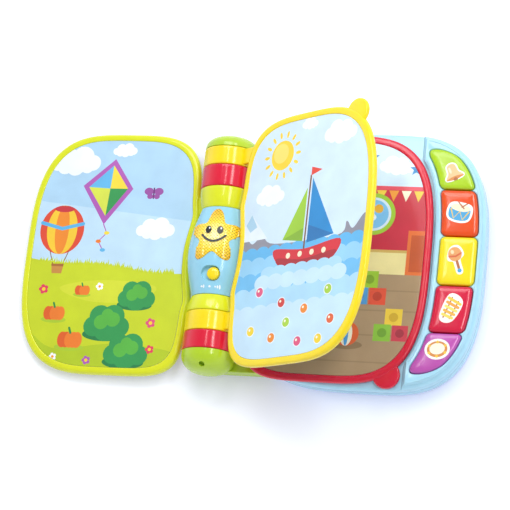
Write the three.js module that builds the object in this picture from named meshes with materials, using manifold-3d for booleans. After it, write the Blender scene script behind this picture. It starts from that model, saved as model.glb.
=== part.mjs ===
// An electronic sound book for small children: a moulded base with five sound keys, a round spine
// that carries a light-up star, and three hinged leaves (cover, yellow page, red page).
// Sizes are millimetres. X runs from the spine to the keys, Y runs up the page, Z runs up from the
// table. The origin lies on the table, under the hinge axis.
import * as THREE from 'three';
import { mergeVertices } from 'three/addons/utils/BufferGeometryUtils.js';
import Module from 'manifold-3d';

const wasm = await Module();
wasm.setup();

// Clearances
const gap = 0.3;            // between pieces that rest on or against each other
const leafGap = 0.5;        // between stacked leaves
const slideGap = 0.5;       // around the keys and the slide knob
const edgeClearance = 1.6;  // between a leaf's inner edge and the spine

// Spine, along Y
const spineHeight = 26;       // hinge axis above the table
const spineRadius = 23.7;
const waistRadius = 20.5;     // where the window meets the rings beside it
const windowBulge = 7.5;      // rise of the window between its waists
const windowTop = 36;
const windowBottom = -43;
const coverRingTop = 19;
const redRingTop = 20;
const yellowRingTop = 17;
const coverRingBottom = 14.8;
const yellowRingBottom = 17.8;
const redRingBottom = 16.4;
const topCapLength = 13.5;
const bottomCapLength = 24;
const capPower = 2.5;         // fullness of the domed caps
const ringChamfer = 0.6;
const tubeRadius = 17.8;      // the fixed tube that the rings turn on
const tubeWall = 2.2;
const capSeat = 7;            // how far the tube sits in the caps
const windowSeat = 1.3;       // how far it sits in the window's ends
const capHoleRadius = 2.6;
const capHoleDepth = 5;

// Leaves, seen from above
const leafCentre = 104.8;
const leafHalfWidth = 82.4;
const leafHalfHeight = 112;
const leafOuterPower = 3.19;
const leafHeadPower = 4;       // fullness of the inner corner at the head of the page
const leafFootPower = 5.2;     // and at its foot
const cornerSoftness = 8;     // blends the leaf's outline into its inner edge
const pageThickness = 5.8;
const coverThickness = 9;
const rimWidth = 6.3;
const rimRound = 1.4;
const cardRecess = 1.6;
const cardThickness = 0.8;
const tabRadius = 12;
const tabX = 158;
const tabY = leafHalfHeight - 9.5;
const tabInset = 0.7;         // the tab is thinner than the page by this on each face
const pageLift = 32.3;        // degrees that the turning page stands above the red page
const coverRest = 0.4;        // height of the open cover's low edge above the table

// Base, seen from above
const baseCentre = 140.4;
const baseHalfWidth = 92.4;
const baseOverhang = 3.5;      // the base reaches past the leaves at each end
const baseHalfHeight = leafHalfHeight + baseOverhang;
const baseInnerBite = 1.3;     // the inner half's curve starts just inside the spine's side
const baseInnerHalfWidth = baseCentre - spineRadius + baseInnerBite;
const basePower = 3.13;
const baseInnerPower = 3.4;
const baseEdgeClearance = 1;  // between the base's inner wall and the rings
const underside = 1.2;        // floor of the base above the table
const partingHeight = 11;
const deckHeight = 21.5;
const consoleHeight = 28.5;
const shellWall = 2.2;
const consoleWall = 4.4;      // from the base's outline to the key well
const consoleLip = 2;         // from the red page's edge to the console
const consoleStart = 171;     // where the console rises from the deck
const consoleRamp = 4;

// Keys
const keyLeft = 7.5;          // from the page's outline to the keys
const keyRight = 6;           // from the base's outline to the keys
const keyGap = 1;
const keyDivision = 22;       // half height of the middle key
const keyDivisionOuter = 64;
const keyEndMargin = 14.5;    // from the base's end to the outermost key
const keyTip = baseHalfHeight - keyEndMargin;
const keyCorner = 4.5;
const keyTipCorner = 9;
const keyTop = 31;
const keyFlange = 1.2;
const keyFlangeThickness = 1.5;
const keyDepth = 10;
const boardThickness = 1.6;
const keyBoardHeight = 15;
const domeRadius = 5;
const domeHeight = 1;
const stripMargin = 1.5;      // of the key board past the outermost dome

// Star lens and switch
const starRadius = 25.8;
const starWaist = 15;
const starPower = 1.15;
const starY = 7.6;
const starProud = 0.9;
const starFlange = 1;
const switchY = -26.2;
const switchLength = 17.2;
const switchWidth = 12.8;
const switchDepth = 4.2;      // recess floor below the window's surface
const switchFloor = 1.8;
const knobRadius = 5.6;
const knobTravel = 5;
const knobProud = 0.9;
const stemWidth = 4;
const spineBoardHeight = 21;
const spineBoardWidth = 26;
const spineBoardLength = 58;
const switchBodyHeight = 9;
const ledRadius = 2.5;
const ledHeight = 9;

// Pieces in the base
const speakerX = 72;
const speakerY = -56;
const speakerRadius = 20;
const speakerHeight = 11;
const grilleHole = 1.3;
const grillePitch = 5;
const batteryX = 134;
const batteryY = 18;
const batteryRadius = 5.25;
const batteryLength = 44.5;
const batteryPitch = 12.4;
const bayMargin = 1.6;
const contactThickness = 0.6;
const doorLedge = 4.2;
const doorThickness = 1.9;
const mainBoardX = 76;
const mainBoardY = 44;
const mainBoardWidth = 56;
const mainBoardDepth = 42;
const mainBoardHeight = 9;
const bossRadius = 3.6;
const postRadius = 2.4;
const screwRadius = 1.1;
const screwHeadRadius = 2.7;
const screwHeadHeight = 1.2;
const screwHeadTop = 4.2;     // head seat above the table
const screwEnd = 16;
const doorScrewEnd = 8.5;
const footRadius = 6;
const footThickness = 1.7;
const tongueReach = 58;
const tongueWidth = 11;
const tongueBottom = 5;
const tongueTop = 19;
const topTongueY = 90;        // middle of the upper cap's tongue
const bottomTongueY = -100;

// Facets
const outlineSteps = 44;
const denseSteps = 720;
const ringSteps = 28;
const holeSteps = 8;

// Places
const cornerScrewY = baseHalfHeight - 31.5;
const endScrewY = baseHalfHeight - 17.5;
const outerFootX = baseCentre + baseHalfWidth - 27.8;
const screwPlaces = [
  [50, cornerScrewY], [50, -cornerScrewY], [150, endScrewY], [150, -endScrewY], [180, 0], [58, 6],
];
const footPlaces = [
  [outerFootX, 62], [outerFootX, -62], [70, baseHalfHeight - 27.5], [76, 23.5 - baseHalfHeight],
];

const colours = {
  lime: 0xd3e028,
  capLime: 0xb9dc3a,
  yellow: 0xfbe32c,
  red: 0xe23148,
  blue: 0x7cc8ea,
  paleBlue: 0xbfe0f4,
  orange: 0xf0622c,
  keyYellow: 0xf7e21e,
  keyRed: 0xe22f46,
  purple: 0xc765b4,
  keyLime: 0xbcd92f,
  star: 0xf4c534,
  card: 0xe4eef2,
  board: 0x2f7d4a,
  rubber: 0x4b4d50,
  steel: 0xb9bcc0,
  black: 0x2a2a2c,
  battery: 0x59636c,
};

const signedPower = (value, power) => Math.sign(value) * Math.abs(value) ** power;
const smoothRise = (t) => Math.sin(Math.min(Math.max(t, 0), 1) * Math.PI / 2);

// Solids

function solidOf(geometry) {
  const bare = geometry.clone();
  bare.deleteAttribute('normal');
  bare.deleteAttribute('uv');
  const merged = mergeVertices(bare, 1e-4);
  return new wasm.Manifold(new wasm.Mesh({
    numProp: 3,
    vertProperties: new Float32Array(merged.attributes.position.array),
    triVerts: new Uint32Array(merged.index.array),
  }));
}

function geometryOf(solid) {
  const mesh = solid.getMesh();
  const geometry = new THREE.BufferGeometry();
  geometry.setAttribute('position', new THREE.BufferAttribute(mesh.vertProperties, 3));
  geometry.setIndex(new THREE.BufferAttribute(mesh.triVerts, 1));
  geometry.computeVertexNormals();
  return geometry;
}

function box(x0, x1, y0, y1, z0, z1) {
  const geometry = new THREE.BoxGeometry(x1 - x0, y1 - y0, z1 - z0);
  geometry.translate((x0 + x1) / 2, (y0 + y1) / 2, (z0 + z1) / 2);
  return solidOf(geometry);
}

// An upright round solid between two heights
function post(x, y, radius, z0, z1, steps = ringSteps) {
  const geometry = new THREE.CylinderGeometry(radius, radius, z1 - z0, steps);
  geometry.rotateX(Math.PI / 2);
  geometry.translate(x, y, (z0 + z1) / 2);
  return solidOf(geometry);
}

// Joins rings of equal count, from the lowest to the highest, and caps both ends
function loft(rings) {
  const count = rings[0].length;
  const positions = rings.flat().flatMap((point) => [point.x, point.y, point.z]);
  const index = [];
  for (let ring = 0; ring < rings.length - 1; ring += 1) {
    for (let i = 0; i < count; i += 1) {
      const next = (i + 1) % count;
      const [a, b] = [ring * count + i, ring * count + next];
      index.push(a, b, b + count, a, b + count, a + count);
    }
  }
  const capOf = (ring) => THREE.ShapeUtils.triangulateShape(ring.map((p) => new THREE.Vector2(p.x, p.y)),
    []);
  const last = (rings.length - 1) * count;
  for (const [a, b, c] of capOf(rings[0])) index.push(a, c, b);
  for (const [a, b, c] of capOf(rings[rings.length - 1])) index.push(last + a, last + b, last + c);
  const geometry = new THREE.BufferGeometry();
  geometry.setAttribute('position', new THREE.Float32BufferAttribute(positions, 3));
  geometry.setIndex(index);
  return solidOf(geometry);
}

// Lofts an outline through a profile of [inset, height] steps
function loftOutline(outline, profile) {
  return loft(profile.map(([inset, z]) => outline(inset).map((p) => new THREE.Vector3(p.x, p.y, z))));
}

// Turns a closed profile of [radius, y] steps about the spine's own axis
function revolve(profile, steps = ringSteps) {
  const points = profile.map(([radius, y]) => new THREE.Vector2(radius, y));
  const closed = profile[0][0] === 0 ? points : [...points, points[0].clone()];
  return solidOf(new THREE.LatheGeometry(closed, steps));
}

// The same profile with its axis upright
function revolveUpright(profile, x, y, steps = ringSteps) {
  const points = profile.map(([radius, z]) => new THREE.Vector2(radius, z));
  const closed = profile[0][0] === 0 ? points : [...points, points[0].clone()];
  const geometry = new THREE.LatheGeometry(closed, steps);
  geometry.rotateX(Math.PI / 2);
  geometry.translate(x, y, 0);
  return solidOf(geometry);
}

const joined = (solids) => solids.reduce((whole, solid) => whole.add(solid));

// Outlines

// Spreads points evenly along a closed line, and starts where the line starts
function evenPoints(line) {
  const spaced = new THREE.Path([...line, line[0].clone()]).getSpacedPoints(outlineSteps);
  spaced.pop();
  return spaced;
}

// A rounded outline whose outer and inner halves have their own widths and fullness. The inner half's
// foot may be fuller than its head.
function roundedOutline(centre, outer, inner, halfHeight, innerEdge) {
  const line = [];
  for (let i = 0; i < denseSteps; i += 1) {
    const angle = 2 * Math.PI * i / denseSteps;
    const half = Math.cos(angle) >= 0 ? outer : inner;
    const power = half.footPower && Math.sin(angle) < 0 ? half.footPower : half.power;
    const x = centre + half.width * signedPower(Math.cos(angle), 2 / power);
    const y = halfHeight * signedPower(Math.sin(angle), 2 / power);
    line.push(new THREE.Vector2(Math.cos(angle) >= 0 ? x : innerEdge(x, y), y));
  }
  return evenPoints(line);
}

// Outer radius of the spine along its length
function spineRadiusAt(y) {
  if (y > windowTop) {
    return waistRadius + (spineRadius - waistRadius) * smoothRise((y - windowTop) / coverRingTop);
  }
  if (y < windowBottom) {
    return waistRadius + (spineRadius - waistRadius) * smoothRise((windowBottom - y) / coverRingBottom);
  }
  const t = (2 * y - windowTop - windowBottom) / (windowTop - windowBottom);
  return waistRadius + windowBulge * Math.cos(t * Math.PI / 2);
}

// A leaf's inner side follows the spine, and blends softly into the round corners
function leafInnerEdge(x, y, inset = 0) {
  const edge = spineRadiusAt(y) + edgeClearance + inset;
  return (x + edge + Math.hypot(x - edge, cornerSoftness)) / 2;
}

function leafOutline(inset) {
  const outer = { width: leafHalfWidth - inset, power: leafOuterPower };
  const inner = { width: leafHalfWidth - inset, power: leafHeadPower, footPower: leafFootPower };
  const innerEdge = (x, y) => leafInnerEdge(x, y, inset);
  return roundedOutline(leafCentre, outer, inner, leafHalfHeight - inset, innerEdge);
}

// Where a leaf begins beside the spine at a given height on the page
function leafStartAt(y) {
  const power = y >= 0 ? leafHeadPower : leafFootPower;
  const reach = (1 - (Math.abs(y) / leafHalfHeight) ** power) ** (1 / power);
  return leafInnerEdge(leafCentre - leafHalfWidth * reach, y);
}

function baseOutline(inset) {
  const outer = { width: baseHalfWidth - inset, power: basePower };
  const inner = { width: baseInnerHalfWidth - inset, power: baseInnerPower };
  const edge = spineRadius + baseEdgeClearance + inset;
  return roundedOutline(baseCentre, outer, inner, baseHalfHeight - inset, (x) => Math.max(x, edge));
}

// The key row's sides: the leaf's outline grown, and the base's outline reduced
function keySideLeft(y) {
  const reach = (1 - (Math.abs(y) / (leafHalfHeight + keyLeft)) ** leafOuterPower) ** (1 / leafOuterPower);
  return leafCentre + (leafHalfWidth + keyLeft) * reach;
}

function keySideRight(y) {
  const reach = (1 - (Math.abs(y) / (baseHalfHeight - keyRight)) ** basePower) ** (1 / basePower);
  return baseCentre + (baseHalfWidth - keyRight) * reach;
}

// A key's outline between two heights on the page, with a round corner of its own at each end
function keyOutline(key, grow = 0, growEnds = grow) {
  const rows = [];
  const cornerSteps = 3;
  const low = key.low - growEnds;
  const high = key.high + growEnds;
  const lowRadius = key.lowCorner + grow;
  const highRadius = key.highCorner + grow;
  for (let i = 0; i <= cornerSteps; i += 1) {
    const angle = i / cornerSteps * Math.PI / 2;
    rows.push([low + lowRadius * (1 - Math.cos(angle)), lowRadius * (1 - Math.sin(angle))]);
  }
  rows.push([(low + high) / 2, 0]);
  for (let i = cornerSteps; i >= 0; i -= 1) {
    const angle = i / cornerSteps * Math.PI / 2;
    rows.push([high - highRadius * (1 - Math.cos(angle)), highRadius * (1 - Math.sin(angle))]);
  }
  const rightSide = rows.map(([y, inset]) => new THREE.Vector2(keySideRight(y) - inset + grow, y));
  const leftSide = rows.map(([y, inset]) => new THREE.Vector2(keySideLeft(y) + inset - grow, y));
  return [...rightSide, ...leftSide.reverse()];
}

const halfKeyGap = keyGap / 2;
const keys = [
  ['key_lime', colours.keyLime, keyDivisionOuter, keyTip, keyCorner, keyTipCorner],
  ['key_orange', colours.orange, keyDivision, keyDivisionOuter, keyCorner, keyCorner],
  ['key_yellow', colours.keyYellow, -keyDivision, keyDivision, keyCorner, keyCorner],
  ['key_red', colours.keyRed, -keyDivisionOuter, -keyDivision, keyCorner, keyCorner],
  ['key_purple', colours.purple, -keyTip, -keyDivisionOuter, keyTipCorner, keyCorner],
].map(([name, colour, low, high, lowCorner, highCorner]) => ({
  name, colour, low: low + halfKeyGap, high: high - halfKeyGap, lowCorner, highCorner,
}));

// Base

const innerRoof = consoleHeight - shellWall;

// The raised key console: the base's outline less the page's, with a ramp at each end
function consoleSolid() {
  const shoulder = consoleHeight - 4;
  const outside = loftOutline(baseOutline, [
    [0, deckHeight - 3], [0, shoulder - 3], [0.9, shoulder - 0.8], [2.4, shoulder + 0.3],
    [2.8, consoleHeight - 1.4], [4.2, consoleHeight],
  ]);
  const pageWell = loftOutline(leafOutline, [
    [-consoleLip, deckHeight], [-consoleLip, consoleHeight - 1.6],
    [-consoleLip - 0.6, consoleHeight - 0.5], [-consoleLip - 1.7, consoleHeight + 0.1],
    [-consoleLip - 1.7, consoleHeight + 1],
  ]);
  return outside.subtract(pageWell).subtract(rampBlock(0, deckHeight));
}

// Everything beside the console, with a sloping face towards it
function rampBlock(shift, bottom) {
  const top = consoleHeight + 1;
  const slope = consoleRamp * (top - bottom) / (consoleHeight - deckHeight);
  const shape = new THREE.Shape();
  shape.moveTo(0, bottom);
  shape.lineTo(consoleStart + shift, bottom);
  shape.lineTo(consoleStart + shift + slope, top);
  shape.lineTo(0, top);
  const geometry = new THREE.ExtrudeGeometry(shape, { depth: 4 * baseHalfHeight, bevelEnabled: false });
  geometry.rotateX(Math.PI / 2);
  geometry.translate(0, 2 * baseHalfHeight, 0);
  return solidOf(geometry);
}

// The room under the console, where the keys and their board lie
function keyWell() {
  const bottom = deckHeight - shellWall - 1;
  const outside = loftOutline(baseOutline, [[consoleWall, bottom], [consoleWall, innerRoof]]);
  const reach = -consoleLip - shellWall;
  const pageSide = loftOutline(leafOutline, [[reach, bottom], [reach, innerRoof + 1]]);
  return outside.subtract(pageSide).subtract(rampBlock(shellWall, bottom));
}

function keyOpening() {
  const holes = keys.map((key) => {
    const outline = () => keyOutline(key, slideGap);
    return loftOutline(outline, [[0, innerRoof - 1], [0, consoleHeight + 1]]);
  });
  return joined(holes);
}

function tongue(y, grow = 0) {
  const half = tongueWidth / 2 + grow;
  return box(grow ? 0 : spineRadius / 2, tongueReach + grow, y - half, y + half, tongueBottom - grow,
    tongueTop + grow);
}

function tongueNotches() {
  return tongue(topTongueY, gap).add(tongue(bottomTongueY, gap));
}

function topShell() {
  const deck = loftOutline(baseOutline, [
    [0, partingHeight + gap], [0, deckHeight - 2.4], [0.8, deckHeight - 0.7], [2.4, deckHeight],
  ]);
  const bosses = screwPlaces.map(([x, y]) => post(x, y, bossRadius, partingHeight + gap,
    deckHeight - shellWall / 2, holeSteps));
  const pilots = screwPlaces.map(([x, y]) => post(x, y, screwRadius + gap, partingHeight, screwEnd + gap,
    holeSteps));
  const room = loftOutline(baseOutline, [[shellWall, partingHeight - 1], [shellWall,
    deckHeight - shellWall]]);
  return deck.add(consoleSolid())
    .subtract(room)
    .subtract(keyWell())
    .subtract(keyOpening())
    .add(joined(bosses))
    .add(windowBarrel(-gap - shellWall).intersect(deck))
    .subtract(windowBarrel(-gap))
    .subtract(joined(pilots))
    .subtract(tongueNotches());
}

// The window's barrel between its two ends, less an inner barrel of a given wall
function windowBarrel(reduce) {
  const barrelSteps = 6;
  const low = windowBottom + gap;
  const high = windowTop - gap;
  const profile = [[0, low]];
  for (let i = 0; i <= barrelSteps; i += 1) {
    const y = low + (high - low) * i / barrelSteps;
    profile.push([spineRadiusAt(y) - reduce, y]);
  }
  profile.push([0, high]);
  if (reduce > 0) {
    profile[0][1] -= 1;
    profile[profile.length - 1][1] += 1;
    profile[1][1] -= 1;
    profile[profile.length - 2][1] += 1;
  }
  return revolve(profile, 36).translate(0, 0, spineHeight);
}

const far = 400;
const above = (z) => box(-far, far, -far, far, z, far);
const below = (z) => box(-far, far, -far, far, -far, z);

// The lower half of the window's barrel, cut flat where it stands on the table
function spineTrough() {
  const ribHalf = shellWall / 2;
  const ribs = [-spineBoardLength / 2 + 8, spineBoardLength / 2 - 8].map((offset) => {
    const y = (windowTop + windowBottom) / 2 + offset;
    return box(-spineRadius, spineRadius, y - ribHalf, y + ribHalf, 0, spineBoardHeight - gap);
  });
  const barrel = windowBarrel(0);
  const floor = box(-spineRadius, spineRadius, windowBottom, windowTop, 0, shellWall).intersect(barrel);
  return barrel.subtract(windowBarrel(shellWall))
    .add(floor)
    .add(joined(ribs).intersect(barrel))
    .subtract(above(spineHeight - gap / 2))
    .subtract(below(0));
}

function spineBridge() {
  const bridge = box(waistRadius - 5, spineRadius + baseEdgeClearance + 3, windowBottom + 2,
    windowTop - 2, 4, partingHeight);
  return bridge.subtract(windowBarrel(shellWall));
}

// The battery bay: a block in the floor with a recess for the door
const bay = {
  x0: batteryX - batteryPitch / 2 - batteryRadius - bayMargin,
  x1: batteryX + batteryPitch / 2 + batteryRadius + bayMargin,
  y0: batteryY - batteryLength / 2 - bayMargin - contactThickness,
  y1: batteryY + batteryLength / 2 + bayMargin + contactThickness,
  top: underside + shellWall + gap + 2 * batteryRadius + gap,
};

function bayBlock() {
  const side = doorLedge + shellWall;
  return box(bay.x0 - side, bay.x1 + side, bay.y0 - side, bay.y1 + side + screwHeadRadius, underside,
    bay.top + shellWall);
}

function bayRoom() {
  const recess = box(bay.x0 - doorLedge, bay.x1 + doorLedge, bay.y0 - doorLedge,
    bay.y1 + doorLedge + screwHeadRadius,
    underside - 1, underside + shellWall);
  return box(bay.x0, bay.x1, bay.y0, bay.y1, underside, bay.top).add(recess);
}

const doorScrewY = bay.y1 + doorLedge / 2 + screwHeadRadius / 2;

function grillePlaces() {
  const places = [];
  for (let row = -2; row <= 2; row += 1) {
    const count = 5 - Math.abs(row);
    for (let i = 0; i < count; i += 1) {
      const x = speakerX + (i - (count - 1) / 2) * grillePitch;
      places.push([x, speakerY + row * grillePitch * Math.sqrt(3) / 2]);
    }
  }
  return places;
}

const boardPosts = [-1, 1].flatMap((i) => [-1, 1].map((j) => [
  mainBoardX + i * (mainBoardWidth / 2 - 6), mainBoardY + j * (mainBoardDepth / 2 - 6),
]));
const keyPostPlaces = [-78, -34, 34, 78].map((y) => [(keySideLeft(y) + keySideRight(y)) / 2, y]);

function bottomShell() {
  const floorTop = underside + shellWall;
  const outside = loftOutline(baseOutline, [
    [3, underside], [1, underside + 0.9], [0, underside + 3.2], [0, partingHeight],
  ]);
  const room = loftOutline(baseOutline, [[shellWall, floorTop], [shellWall, partingHeight + 1]]);
  const grille = grillePlaces().map(([x, y]) => post(x, y, grilleHole, 0, floorTop + 1, 6));
  const seat = post(speakerX, speakerY, speakerRadius + gap + shellWall / 2, floorTop - 0.5,
    floorTop + 5, 20)
    .subtract(post(speakerX, speakerY, speakerRadius + 2 * gap, floorTop - 1, floorTop + 6, 20));
  const bosses = screwPlaces.map(([x, y]) => post(x, y, bossRadius + 0.8, floorTop - 0.5, partingHeight,
    holeSteps));
  const shanks = screwPlaces.map(([x, y]) => post(x, y, screwRadius + gap, 0, partingHeight + 1,
    holeSteps));
  const heads = screwPlaces.map(([x, y]) => post(x, y, screwHeadRadius + gap, 0, screwHeadTop + gap,
    holeSteps));
  const posts = [
    ...boardPosts.map(([x, y]) => post(x, y, postRadius, floorTop - 0.5, mainBoardHeight - gap, 6)),
    ...keyPostPlaces.map(([x, y]) => post(x, y, postRadius, floorTop - 0.5, keyBoardHeight - gap, 6)),
  ];
  const feet = footPlaces.map(([x, y]) => post(x, y, footRadius + gap, 0, footThickness + gap, 12));
  const doorPilot = post(batteryX, doorScrewY, screwRadius + gap, 0, doorScrewEnd + gap, holeSteps);
  return outside.subtract(room)
    .add(spineTrough())
    .add(spineBridge())
    .add(seat)
    .add(joined([...bosses, ...posts]))
    .add(bayBlock())
    .subtract(bayRoom())
    .subtract(joined([...grille, ...shanks, ...heads, ...feet, doorPilot]))
    .subtract(tongueNotches());
}

function batteryDoor() {
  const side = doorLedge - gap;
  const plate = box(bay.x0 - side, bay.x1 + side, bay.y0 - side, bay.y1 + side + screwHeadRadius,
    underside, underside + doorThickness);
  const headRoom = post(batteryX, doorScrewY, screwHeadRadius + gap, 0, underside + screwHeadHeight,
    holeSteps);
  const shankRoom = post(batteryX, doorScrewY, screwRadius + gap, 0, underside + doorThickness + 1,
    holeSteps);
  return plate.subtract(headRoom).subtract(shankRoom);
}

function screw(x, y, headTop, end) {
  const round = screwHeadHeight / 3;
  const bottom = headTop - screwHeadHeight;
  return revolveUpright([
    [0, bottom], [screwHeadRadius - round, bottom], [screwHeadRadius, bottom + round], [screwHeadRadius,
      headTop],
    [screwRadius, headTop], [screwRadius, end - screwRadius], [0, end],
  ], x, y, holeSteps);
}

function rubberFoot(x, y) {
  return revolveUpright([
    [0, 0], [footRadius - 0.8, 0], [footRadius, 0.8], [footRadius, footThickness], [0, footThickness],
  ], x, y, 12);
}

// Spine

function starOutline(grow = 0) {
  const steps = 40;
  const radius = spineRadiusAt(starY);
  const points = [];
  for (let i = 0; i < steps; i += 1) {
    const angle = 2 * Math.PI * i / steps;
    const arm = ((1 + Math.cos(5 * angle)) / 2) ** starPower;
    const reach = starWaist + (starRadius - starWaist) * arm + grow;
    const along = -reach * Math.sin(angle);
    points.push(new THREE.Vector2(radius * Math.sin(along / radius), starY + reach * Math.cos(angle)));
  }
  return points;
}

const starPrism = (grow) => loftOutline(() => starOutline(grow), [[0, spineHeight + 2], [0,
  spineHeight + 2 * spineRadius]]);

function starLens() {
  const hollow = windowBarrel(shellWall + gap + starFlange);
  const body = starPrism(0).intersect(windowBarrel(-starProud)).subtract(hollow);
  const flange = starPrism(starFlange).intersect(windowBarrel(shellWall + gap)).subtract(hollow);
  return body.add(flange);
}

function slot(length, width, z0, z1) {
  const radius = width / 2;
  const half = length / 2 - radius;
  const shape = new THREE.Shape();
  shape.moveTo(-half, switchY - radius);
  shape.lineTo(half, switchY - radius);
  shape.absarc(half, switchY, radius, -Math.PI / 2, Math.PI / 2, false);
  shape.lineTo(-half, switchY + radius);
  shape.absarc(-half, switchY, radius, Math.PI / 2, 3 * Math.PI / 2, false);
  const geometry = new THREE.ExtrudeGeometry(shape, { depth: z1 - z0, bevelEnabled: false,
    curveSegments: 8 });
  geometry.translate(0, 0, z0);
  return solidOf(geometry);
}

const windowCrest = spineHeight + spineRadiusAt(switchY);
const recessFloor = windowCrest - switchDepth;

function spineHousing() {
  const cup = slot(switchLength + 2 * shellWall, switchWidth + 2 * shellWall, recessFloor - switchFloor,
    windowCrest)
    .intersect(windowBarrel(shellWall / 2));
  const slit = box(-(knobTravel + stemWidth) / 2 - slideGap, (knobTravel + stemWidth) / 2 + slideGap,
    switchY - stemWidth / 2 - slideGap, switchY + stemWidth / 2 + slideGap,
      recessFloor - switchFloor - 1, recessFloor + 1);
  return windowBarrel(0).subtract(windowBarrel(shellWall))
    .add(cup)
    .subtract(slot(switchLength, switchWidth, recessFloor, windowCrest + 5))
    .subtract(slit)
    .subtract(starPrism(gap))
    .subtract(below(spineHeight + gap / 2));
}

function slideKnob() {
  const x = knobTravel / 2;
  const top = windowCrest + knobProud;
  const round = 1.2;
  const head = revolveUpright([
    [0, recessFloor + gap], [knobRadius, recessFloor + gap], [knobRadius, top - round],
      [knobRadius - 0.4, top - 0.35],
    [knobRadius - round, top], [0, top + 0.2],
  ], x, switchY, 24);
  const half = stemWidth / 2;
  const stem = box(x - half, x + half, switchY - half, switchY + half,
    spineBoardHeight + boardThickness + gap
    + switchBodyHeight + gap, recessFloor + 1);
  return head.add(stem);
}

function ringProfile(low, high) {
  const inner = tubeRadius + gap;
  const [start, end] = [Math.min(low, high) + gap / 2, Math.max(low, high) - gap / 2];
  const steps = spineRadiusAt(start) === spineRadiusAt(end) ? 1 : 3;
  const profile = [[inner, start], [spineRadiusAt(start) - ringChamfer, start]];
  for (let i = 0; i <= steps; i += 1) {
    const y = start + ringChamfer + (end - start - 2 * ringChamfer) * i / steps;
    profile.push([spineRadiusAt(y), y]);
  }
  profile.push([spineRadiusAt(end) - ringChamfer, end], [inner, end]);
  return profile;
}

const ringSpans = {
  cover: [
    [windowTop, windowTop + coverRingTop],
    [windowBottom, windowBottom - coverRingBottom],
  ],
  red: [
    [windowTop + coverRingTop, windowTop + coverRingTop + redRingTop],
    [windowBottom - coverRingBottom - yellowRingBottom,
      windowBottom - coverRingBottom - yellowRingBottom - redRingBottom],
  ],
  yellow: [
    [windowTop + coverRingTop + redRingTop, windowTop + coverRingTop + redRingTop + yellowRingTop],
    [windowBottom - coverRingBottom, windowBottom - coverRingBottom - yellowRingBottom],
  ],
};
const ringsTop = ringSpans.yellow[0][1];
const ringsBottom = ringSpans.red[1][1];

// A domed end cap with a seat for the tube and a tongue that the base holds
function endCap(start, length, tongueY) {
  const side = Math.sign(length);
  const domeSteps = 6;
  const outer = [];
  for (let i = 0; i <= domeSteps; i += 1) {
    const angle = i / domeSteps * Math.PI / 2;
    const y = start + side * gap / 2 + (length - side * gap / 2) * Math.sin(angle) ** (2 / capPower);
    outer.push([i === domeSteps ? 0 : spineRadius * Math.cos(angle) ** (2 / capPower), y]);
  }
  const profile = [[0, start + side * gap / 2], ...outer];
  const dome = revolve(side > 0 ? profile : profile.reverse()).translate(0, 0, spineHeight);
  const seat = revolve([
    [0, start - 1], [tubeRadius + gap, start - 1], [tubeRadius + gap, start + capSeat + gap], [0,
      start + capSeat + gap],
  ]);
  const seatBelow = revolve([
    [0, start - capSeat - gap], [tubeRadius + gap, start - capSeat - gap], [tubeRadius + gap, start + 1],
      [0, start + 1],
  ]);
  return dome.add(tongue(tongueY).subtract(ringsRoom(start, side)))
    .subtract((side > 0 ? seat : seatBelow).translate(0, 0, spineHeight));
}

// The side of a cap's face that belongs to the rings
function ringsRoom(start, side) {
  const edge = start + side * gap / 2;
  return side > 0 ? box(-far, far, -far, edge, -far, far) : box(-far, far, edge, far, -far, far);
}

function bottomCap() {
  const tilt = new THREE.CylinderGeometry(capHoleRadius, capHoleRadius, 2 * capHoleDepth, 16);
  tilt.rotateX(Math.PI / 5);
  const y = ringsBottom - bottomCapLength * 0.72;
  const z = spineHeight + spineRadius * 0.78;
  tilt.translate(0, y, z);
  return endCap(ringsBottom, -bottomCapLength, bottomTongueY).subtract(solidOf(tilt));
}

function hingeTube(low, high) {
  const inner = tubeRadius - tubeWall;
  return revolve([[inner, low], [tubeRadius, low], [tubeRadius, high], [inner, high]]).translate(0, 0,
    spineHeight);
}

// Boards and what sits on them

function spineBoard() {
  const y = (windowTop + windowBottom) / 2;
  return box(-spineBoardWidth / 2, spineBoardWidth / 2, y - spineBoardLength / 2, y + spineBoardLength / 2,
    spineBoardHeight, spineBoardHeight + boardThickness);
}

function starLed() {
  const bottom = spineBoardHeight + boardThickness + gap;
  const shoulder = bottom + ledHeight - ledRadius;
  return revolveUpright([
    [0, bottom], [ledRadius + 0.5, bottom], [ledRadius + 0.5, bottom + 1], [ledRadius, bottom + 1],
      [ledRadius, shoulder],
    [ledRadius * 0.8, shoulder + ledRadius * 0.6], [0, bottom + ledHeight],
  ], 0, starY, 16);
}

function switchBody() {
  const bottom = spineBoardHeight + boardThickness + gap;
  const half = (knobTravel + stemWidth) / 2 + 2;
  return box(-half, half, switchY - stemWidth, switchY + stemWidth, bottom, bottom + switchBodyHeight);
}

function keyStrip(inset, z0, z1) {
  const end = keyCentre(keys[0]) + domeRadius + stripMargin;
  const outside = loftOutline(baseOutline, [[keyRight + inset, z0], [keyRight + inset, z1]]);
  const pageSide = loftOutline(leafOutline, [[-keyLeft - inset, z0 - 1], [-keyLeft - inset, z1 + 1]]);
  return outside.subtract(pageSide).intersect(box(consoleStart, far, -end + inset, end - inset, z0 - 1,
    z1 + 1));
}

function keyMembrane() {
  const bottom = keyBoardHeight + boardThickness + gap;
  const domes = keys.map((key) => {
    const y = keyCentre(key);
    const x = (keySideLeft(y) + keySideRight(y)) / 2;
    return revolveUpright([
      [0, bottom], [domeRadius, bottom], [domeRadius, bottom + domeHeight / 2 + 0.6],
      [domeRadius * 0.6, bottom + domeHeight + 0.6], [0, bottom + domeHeight + 0.6],
    ], x, y, 12);
  });
  return joined([keyStrip(1, bottom, bottom + 0.8), ...domes]);
}

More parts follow.
